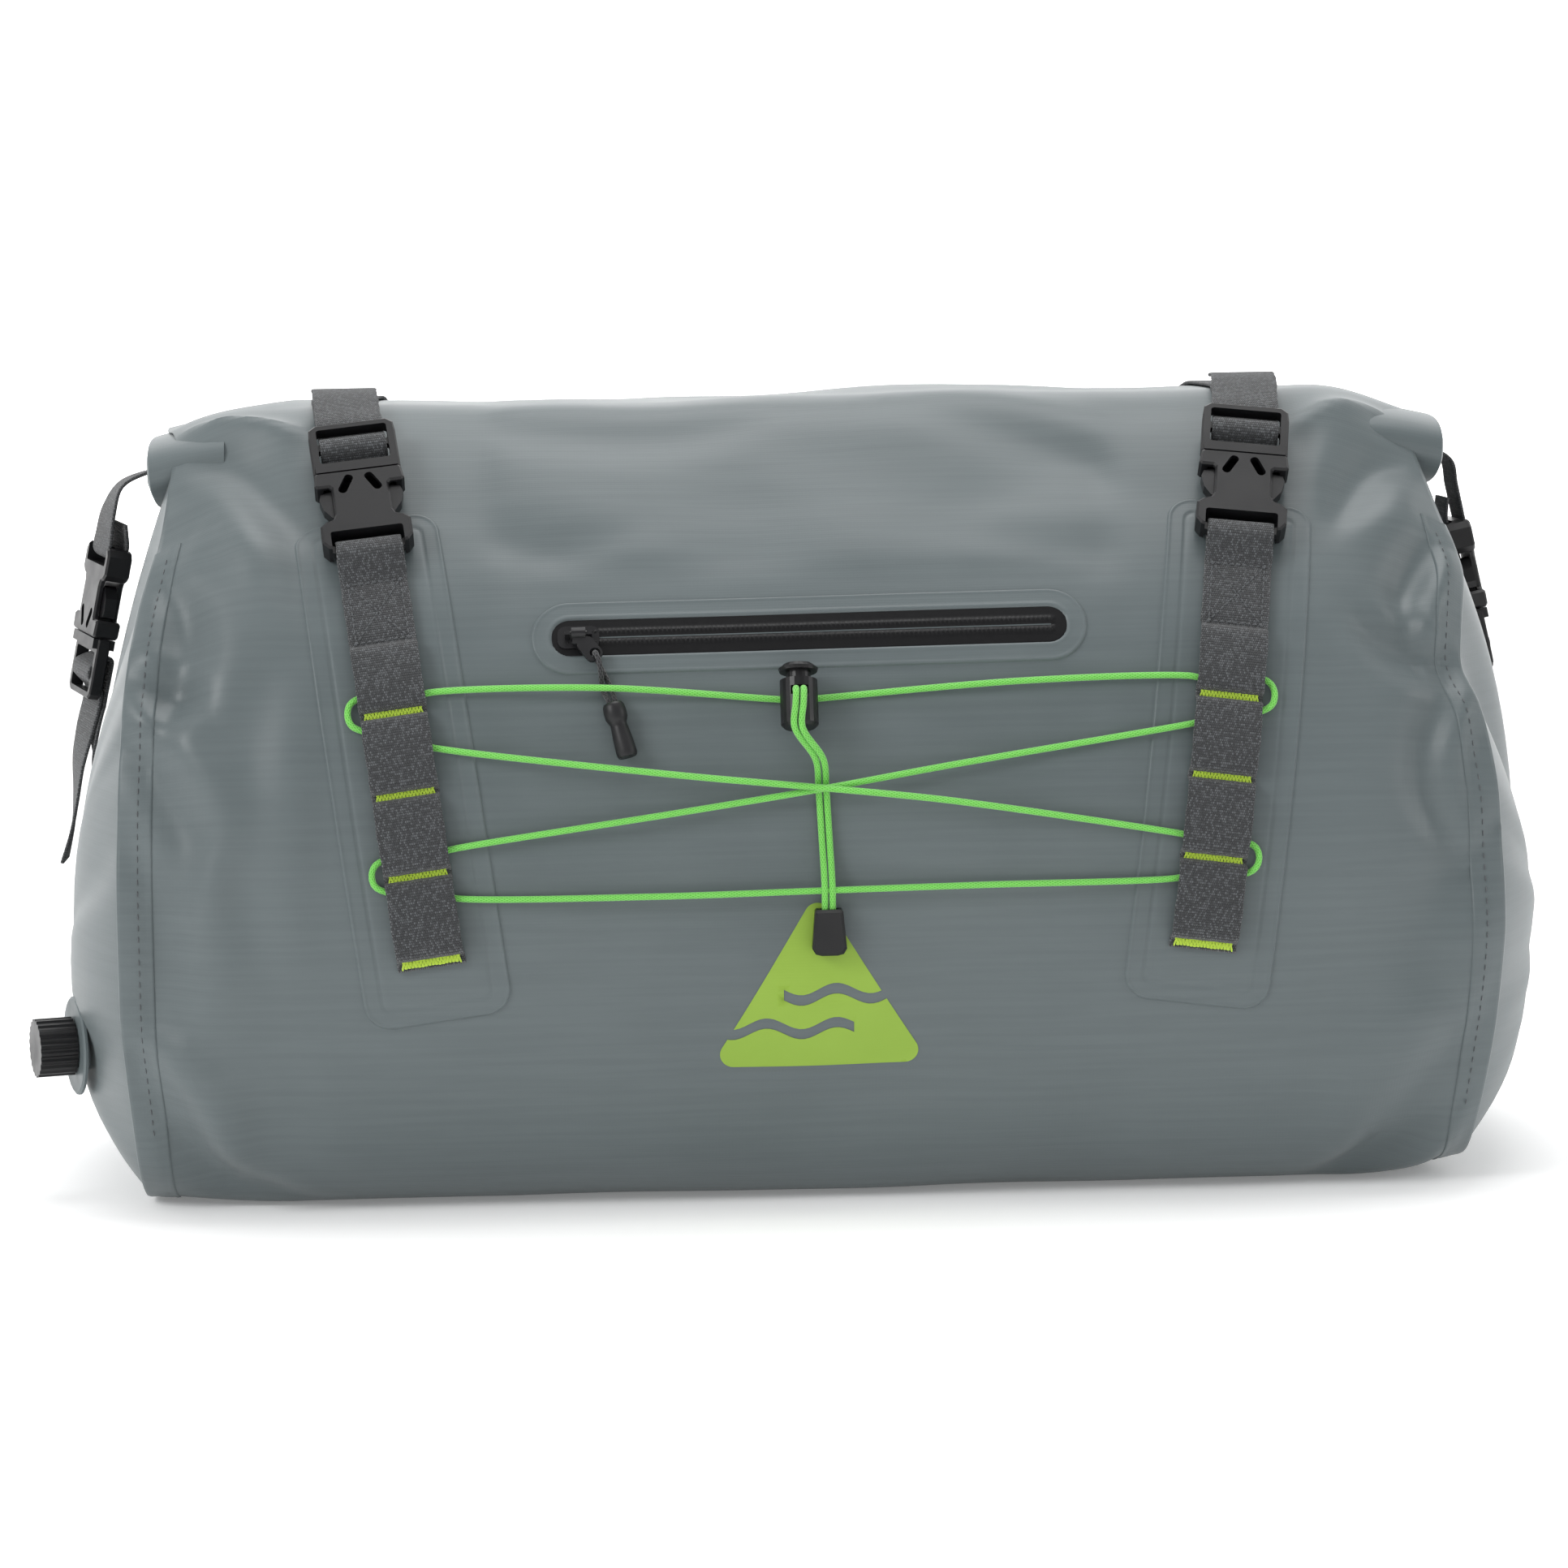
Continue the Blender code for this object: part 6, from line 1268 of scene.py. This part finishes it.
# the cord's turn round a strap's tack: under the strap, round outside it and back under
def laceTurn(side, tack, spreadIn, spreadOut):
    centre = strapX(tack)
    under = 3 * gap + patchFabric + lace["diameter"] / 2
    half = webWidth / 2
    up = spreadIn / abs(spreadIn)
    low = 0.0058
    return [
        (side * (centre - half - 0.003), tack + spreadIn * 1.16, under + 0.0004),
        (side * (centre - half + 0.004), tack + spreadIn, under),
        (side * (centre + half - 0.002), tack + up * low * 1.04, under),
        (side * (centre + half + 0.0032), tack + up * low * 0.62, under + 0.0002),
        (side * (centre + half + 0.0044), tack - up * 0.0002, under + 0.0004),
        (side * (centre + half + 0.0030), tack - up * low * 0.70, under + 0.0002),
        (side * (centre + half - 0.002), tack - up * low * 1.10, under),
        (side * (centre - half + 0.004), tack - spreadOut, under),
        (side * (centre - half - 0.003), tack - spreadOut * 1.16, under + 0.0004),
    ]


def laceRoute():
    beside = lace["diameter"] / 2 + gap / 2
    radius, half, hole = lace["lockRadius"], lace["lockHalf"], lace["holeUp"]
    front = radius + lace["diameter"] / 2 + 3 * gap
    back = radius + lace["diameter"] / 2 + 1.4 * gap

    def tail(side):
        x = side * beside
        hanging = [(0.0034, 0.1420, 0.0021), (0.0026, 0.1580, 0.0034), (0.0016, 0.1680, 0.0092)]
        held = [(x - 0.0010, -front * 0.98, -half - 0.0018), (x - 0.0004, -front - 0.0020, -half * 0.3),
                (x, -front - 0.0010, hole - 0.0014), (x, -front * 0.86, hole), (x, 0, hole),
                (x, radius * 0.74, hole), (x + side * 0.0014, back * 0.95, hole),
                (x + side * 0.0085, back, hole + 0.0006)]
        return [cordEndFrame @ Vector((x, 0.0030, 0)), cordEndFrame @ Vector((x, 0.0100, 0)),
                cordEndFrame @ Vector((x, 0.0170, -0.0002)),
                *(frontPoint(middle + x, height, stand) for middle, height, stand in hanging),
                *(lockFrame @ Vector(point) for point in held)]

    upper, lower = strap["tacks"][3], strap["tacks"][1]
    leftTop, rightLow = laceTurn(-1, upper, 0.0062, 0.0110), laceTurn(1, lower, 0.0085, 0.0062)
    leftLow, rightTop = laceTurn(-1, lower, -0.0075, -0.0085), laceTurn(1, upper, -0.0085, -0.0064)
    route = tail(-1) + [(-0.0780, 0.1952, 0.0056)] + leftTop
    route += [(-0.0500, 0.1638, 0.0080), (0.0030, 0.1582, 0.0092), (0.0500, 0.1528, 0.0078)] + rightLow
    route += [(0.0600, 0.1222, 0.0046), (0.0040, 0.1214, 0.0050), (-0.0600, 0.1206, 0.0046)] + leftLow
    route += [(-0.0500, 0.1508, 0.0050), (0.0030, 0.1582, 0.0063), (0.0500, 0.1656, 0.0050)] + rightTop
    route += [(0.0780, 0.1952, 0.0036)] + tail(1)[::-1]
    return [point if isinstance(point, Vector) else frontPoint(*point) for point in route]


obj, laceLength = tubeMesh("bungeeLace", laceRoute(), lace["diameter"] / 2, "bungee")
finish(obj, "bag", "lime_bungee", "bungee_lace")

zipFrame = axisFrame((-0.0862, -0.12481, 0.21472), (0.99995, 0.00533, 0.00901),
                     (-0.01047, 0.50938, 0.86048), (0.0, -0.86053, 0.5094))
gripFrame = axisFrame((-0.0742, -0.14019, 0.1916), (-0.96467, 0, -0.26345), (0.07185, 0.96209, -0.2631),
                      (0.25347, -0.27273, -0.9281))
tabHole = Vector((0.00591, -0.00844, 0.0041))


# a braided loop through the tab, both ends in the grip
def pullerCord():
    top, way = gripFrame.translation, gripFrame.to_3x3() @ Vector((0, 0, 1))
    side = way.cross(zipFrame.to_3x3() @ Vector((0, 0, 1))).normalized() * 0.0012
    crossing = frontPoint(-0.0742 - 0.0018, 0.1957, 0.0010 + 1.4 * gap)

    def byTab(*offset):
        return zipFrame @ (tabHole + Vector(offset))
    route = [top + way * 0.003 - side, top - side - way * 0.0015, crossing - side * 1.3,
             byTab(0.0012, -0.0030, -0.0022),
             byTab(0.0002, -0.0008, -0.00176), byTab(0, 0, 0), byTab(0.0002, -0.0008, 0.00198),
             byTab(0.0014, -0.0042, 0.0018),
             crossing + side * 1.3, top + side - way * 0.0015, top + way * 0.003 + side]
    obj, length = tubeMesh("pullerCord", route, 0.0010, "puller", 0.0006, 10)
    finish(obj, "zip_puller", "braided_cord", "zip_puller_cord")
    return obj, smoothLine(route, 0.002)[0], length


# a turned piece about the third axis of its frame
def lathed(name, profile, look, matrix, sides=40, closed=True):
    radius = np.array([max(r, 1e-5) for r, _ in profile])
    height = np.array([h for _, h in profile])
    angles = np.arange(sides) * math.tau / sides
    points = np.stack([radius[:, None] * np.cos(angles), radius[:, None] * np.sin(angles),
                       np.broadcast_to(height[:, None], (len(profile), sides))], axis=-1)
    uvs = np.stack(np.broadcast_arrays(angles[None, :] / math.tau, height[:, None]), axis=-1)
    flat = points.reshape(-1, 3) @ np.array(matrix.to_3x3()).T + np.array(matrix.translation)
    obj = gridMesh(name, flat.reshape(points.shape), uvs, look, wrapAcross=True, closeEnds=closed)
    closedOutward(obj)
    obj.data.shade_smooth()
    obj.data.set_sharp_from_angle(angle=math.radians(45))
    return obj


# heat-shrink tube over the cord's ends, waisted where it was pinched
def pullerGrip():
    profile = [(0.0022, 0.0006), (0.0030, 0), (0.0036, 0.0003), (0.0041, 0.0014), (0.0043, 0.0036),
               (0.0042, 0.0058), (0.0036, 0.0072),
               (0.0031, 0.0083), (0.0032, 0.0094), (0.0034, 0.0112), (0.0037, 0.0150), (0.0039, 0.0185),
               (0.0038, 0.0202), (0.0034, 0.0210), (0.0020, 0.0210)]
    obj = lathed("pullerGrip", profile, "shrink", gripFrame, 36)
    return finish(obj, "zip_puller", "shrink_tube", "zip_puller_grip")


pull, pullPath, pullLength = pullerCord()
grip = pullerGrip()
print("cords made, lace", round(float(laceLength), 3), "puller", round(float(pullLength), 4))


# printed mark: a peak with two waves cut into it

mark = {"height": 0.0855, "width": 0.074, "tall": 0.062, "corner": 0.005, "cut": 0.0040, "wave": 0.0022,
        "waveLength": 0.026, "keep": 0.024}


def markOutline():
    halfW, halfT, corner = mark["width"] / 2, mark["tall"] / 2, mark["corner"]
    slope = math.atan2(mark["tall"] - 2 * corner, halfW - corner)
    points = []
    for (x, y), start, sweep in (((0, halfT - corner), math.pi / 2 - slope, 2 * slope),
                                 ((corner - halfW, corner - halfT), math.pi / 2 + slope, math.pi - slope),
                                 ((halfW - corner, corner - halfT), -math.pi / 2, math.pi - slope)):
        points += [(x + corner * math.cos(start + sweep * k / 12),
                    y + corner * math.sin(start + sweep * k / 12)) for k in range(13)]
    return points


def slab(points, low, high):
    work = bmesh.new()
    face = work.faces.new([work.verts.new((*p, low)) for p in points])
    for geometry in bmesh.ops.extrude_face_region(work, geom=[face])["geom"]:
        if isinstance(geometry, bmesh.types.BMVert):
            geometry.co.z = high
    bmesh.ops.recalc_face_normals(work, faces=work.faces)
    mesh = bpy.data.meshes.new("slab")
    work.to_mesh(mesh)
    work.free()
    obj = bpy.data.objects.new("slab", mesh)
    bpy.context.scene.collection.objects.link(obj)
    return obj


# booleans, applied at once; the cutters are removed
def cutBy(obj, others, operation="DIFFERENCE"):
    for other in others:
        step = obj.modifiers.new("cut", "BOOLEAN")
        step.operation, step.solver, step.object = operation, "EXACT", other
    bpy.context.view_layer.update()
    mesh = bpy.data.meshes.new_from_object(obj.evaluated_get(bpy.context.evaluated_depsgraph_get()))
    obj.modifiers.clear()
    obj.data = mesh
    for other in others:
        bpy.data.objects.remove(other, do_unlink=True)
    return obj


def printedMark():
    body = slab(markOutline(), -0.001, 0.001)
    cutters = []
    for side, level in ((1, -0.003), (-1, -0.016)):
        xs = [side * (mark["keep"] + mark["width"] * k / 40 - mark["width"] / 2) for k in range(41)]
        wave = [(x, level + mark["wave"] * math.sin(math.tau * x / mark["waveLength"])) for x in xs]
        cutters.append(slab([(x, y - mark["cut"] / 2) for x, y in wave]
                            + [(x, y + mark["cut"] / 2) for x, y in wave[::-1]], -0.01, 0.01))
    cutBy(body, cutters)
    work = bmesh.new()
    work.from_mesh(body.data)
    bmesh.ops.delete(work, geom=[f for f in work.faces if f.normal.z < 0.5], context="FACES")
    for axis, reach in ((0, 0.04), (1, 0.035)):
        for at in np.arange(-reach, reach, 0.003):
            geometry = work.verts[:] + work.edges[:] + work.faces[:]
            co, no = [0, 0, 0], [0, 0, 0]
            co[axis], no[axis] = at, 1
            bmesh.ops.bisect_plane(work, geom=geometry, plane_co=co, plane_no=no)
    bmesh.ops.triangulate(work, faces=work.faces[:])
    mesh = bpy.data.meshes.new("printedMark")
    work.to_mesh(mesh)
    work.free()
    bpy.data.objects.remove(body, do_unlink=True)
    flat = np.array([v.co[:2] for v in mesh.vertices])
    s = sAt(mark["height"]) + flat[:, 1]
    for vert, p in zip(mesh.vertices, bagPoints(flat[:, 0], s, 0.00018)):
        vert.co = p
    setCloth(mesh, np.stack([flat[:, 0], s], axis=1))
    obj = addObject("printedMark", mesh, "print")
    if sum(f.normal.y for f in mesh.polygons) > 0:
        mesh.flip_normals()
    return finish(obj, "bag", "lime_print", "emblem")


printedMark()
print("mark made")


# hard parts shown as their CAD solids, with rounded edges and their own looks

hardLooks = {
    "acetal": ["buckle", "latch_arm", "cord_lock_barrel", "cord_lock_button", "cord_end", "valve_cap"],
    "zinc": ["zip_slider", "zip_pull_tab"],
    "valve": ["valve_body"],
    "rubber": ["valve_seal"],
    "steel": ["cord_lock_spring"],
    "polymer": ["roll_stiffener"],
    "coil": ["zip_coil"],
    "liner": ["pocket_liner"],
}
for look, words in hardLooks.items():
    for name, obj in nodes.items():
        if any(word in name for word in words):
            obj.data.materials.clear()
            obj.data.materials.append(looks[look])
            if look in ("acetal", "zinc", "valve"):
                edge = obj.modifiers.new("edges", "BEVEL")
                edge.width = 0.0004
                edge.segments = 2
                edge.limit_method = "ANGLE"
                edge.angle_limit = math.radians(35)
                edge.harden_normals = False
                obj.data.shade_smooth()
                obj.data.set_sharp_from_angle(angle=math.radians(50))
print("hard parts dressed")


# studio

def studio():
    mesh = bpy.data.meshes.new("floor")
    reach = 9.0
    mesh.from_pydata([(-reach, -reach, -0.0005), (reach, -reach, -0.0005), (reach, reach, -0.0005),
                      (-reach, reach, -0.0005)], [], [(0, 1, 2, 3)])
    floor = bpy.data.objects.new("floor", mesh)
    look, tree, shader = newMaterial("paintedFloor", "#fbfbfb", 0.9, Specular_IOR_Level=0.1,
                                     Emission_Strength=0.16)
    shader.inputs["Emission Color"].default_value = (1, 1, 1, 1)
    obj = addNode(tree, "ShaderNodeTexCoord").outputs["Object"]
    dust = addNode(tree, "ShaderNodeTexNoise", {"Scale": 60.0, "Detail": 3.0}, {"Vector": obj})
    bump(tree, shader, dust.outputs[0], 0.0001, 0.1)
    mesh.materials.append(look)
    bpy.context.scene.collection.objects.link(floor)
    paper = bpy.data.meshes.new("paper")
    paper.from_pydata([(-reach, 4.0, -0.0005), (reach, 4.0, -0.0005), (reach, 4.0, 6.0),
                       (-reach, 4.0, 6.0)], [], [(0, 1, 2, 3)])
    backdrop = bpy.data.objects.new("backdrop", paper)
    look, tree, shader = newMaterial("litPaper", "#ffffff", 1.0, Emission_Strength=1.05,
                                     Specular_IOR_Level=0.0)
    shader.inputs["Emission Color"].default_value = (1, 1, 1, 1)
    fibre = addNode(tree, "ShaderNodeTexNoise", {"Scale": 90.0},
                    {"Vector": addNode(tree, "ShaderNodeTexCoord").outputs["Object"]})
    bump(tree, shader, fibre.outputs[0], 0.0001, 0.1)
    paper.materials.append(look)
    bpy.context.scene.collection.objects.link(backdrop)
    bpy.context.scene.view_settings.view_transform = "Standard"
    world = bpy.data.worlds.new("studio")
    bpy.context.scene.world = world
    world.use_nodes = True
    back = world.node_tree.nodes["Background"]
    back.inputs["Color"].default_value = (1, 1, 1, 1)
    back.inputs["Strength"].default_value = 0.55
    lamps = {
        "key": {"at": (-2.0, -1.5, 1.5), "aim": (-0.1, 0, 0.14), "size": 1.1, "power": 30},
        "rim": {"at": (2.2, -0.7, 1.0), "aim": (0.2, 0, 0.15), "size": 0.8, "power": 8},
        "top": {"at": (0.1, 0.2, 2.2), "aim": (0, 0, 0.2), "size": 1.4, "power": 25},
    }
    for name, lamp in lamps.items():
        data = bpy.data.lights.new(name, "AREA")
        data.energy = lamp["power"]
        data.shape = "SQUARE"
        data.size = lamp["size"]
        obj = bpy.data.objects.new(name, data)
        obj.location = lamp["at"]
        obj.rotation_euler = (Vector(lamp["aim"]) - Vector(lamp["at"])).to_track_quat("-Z", "Y").to_euler()
        bpy.context.scene.collection.objects.link(obj)


studio()
print("studio lit")
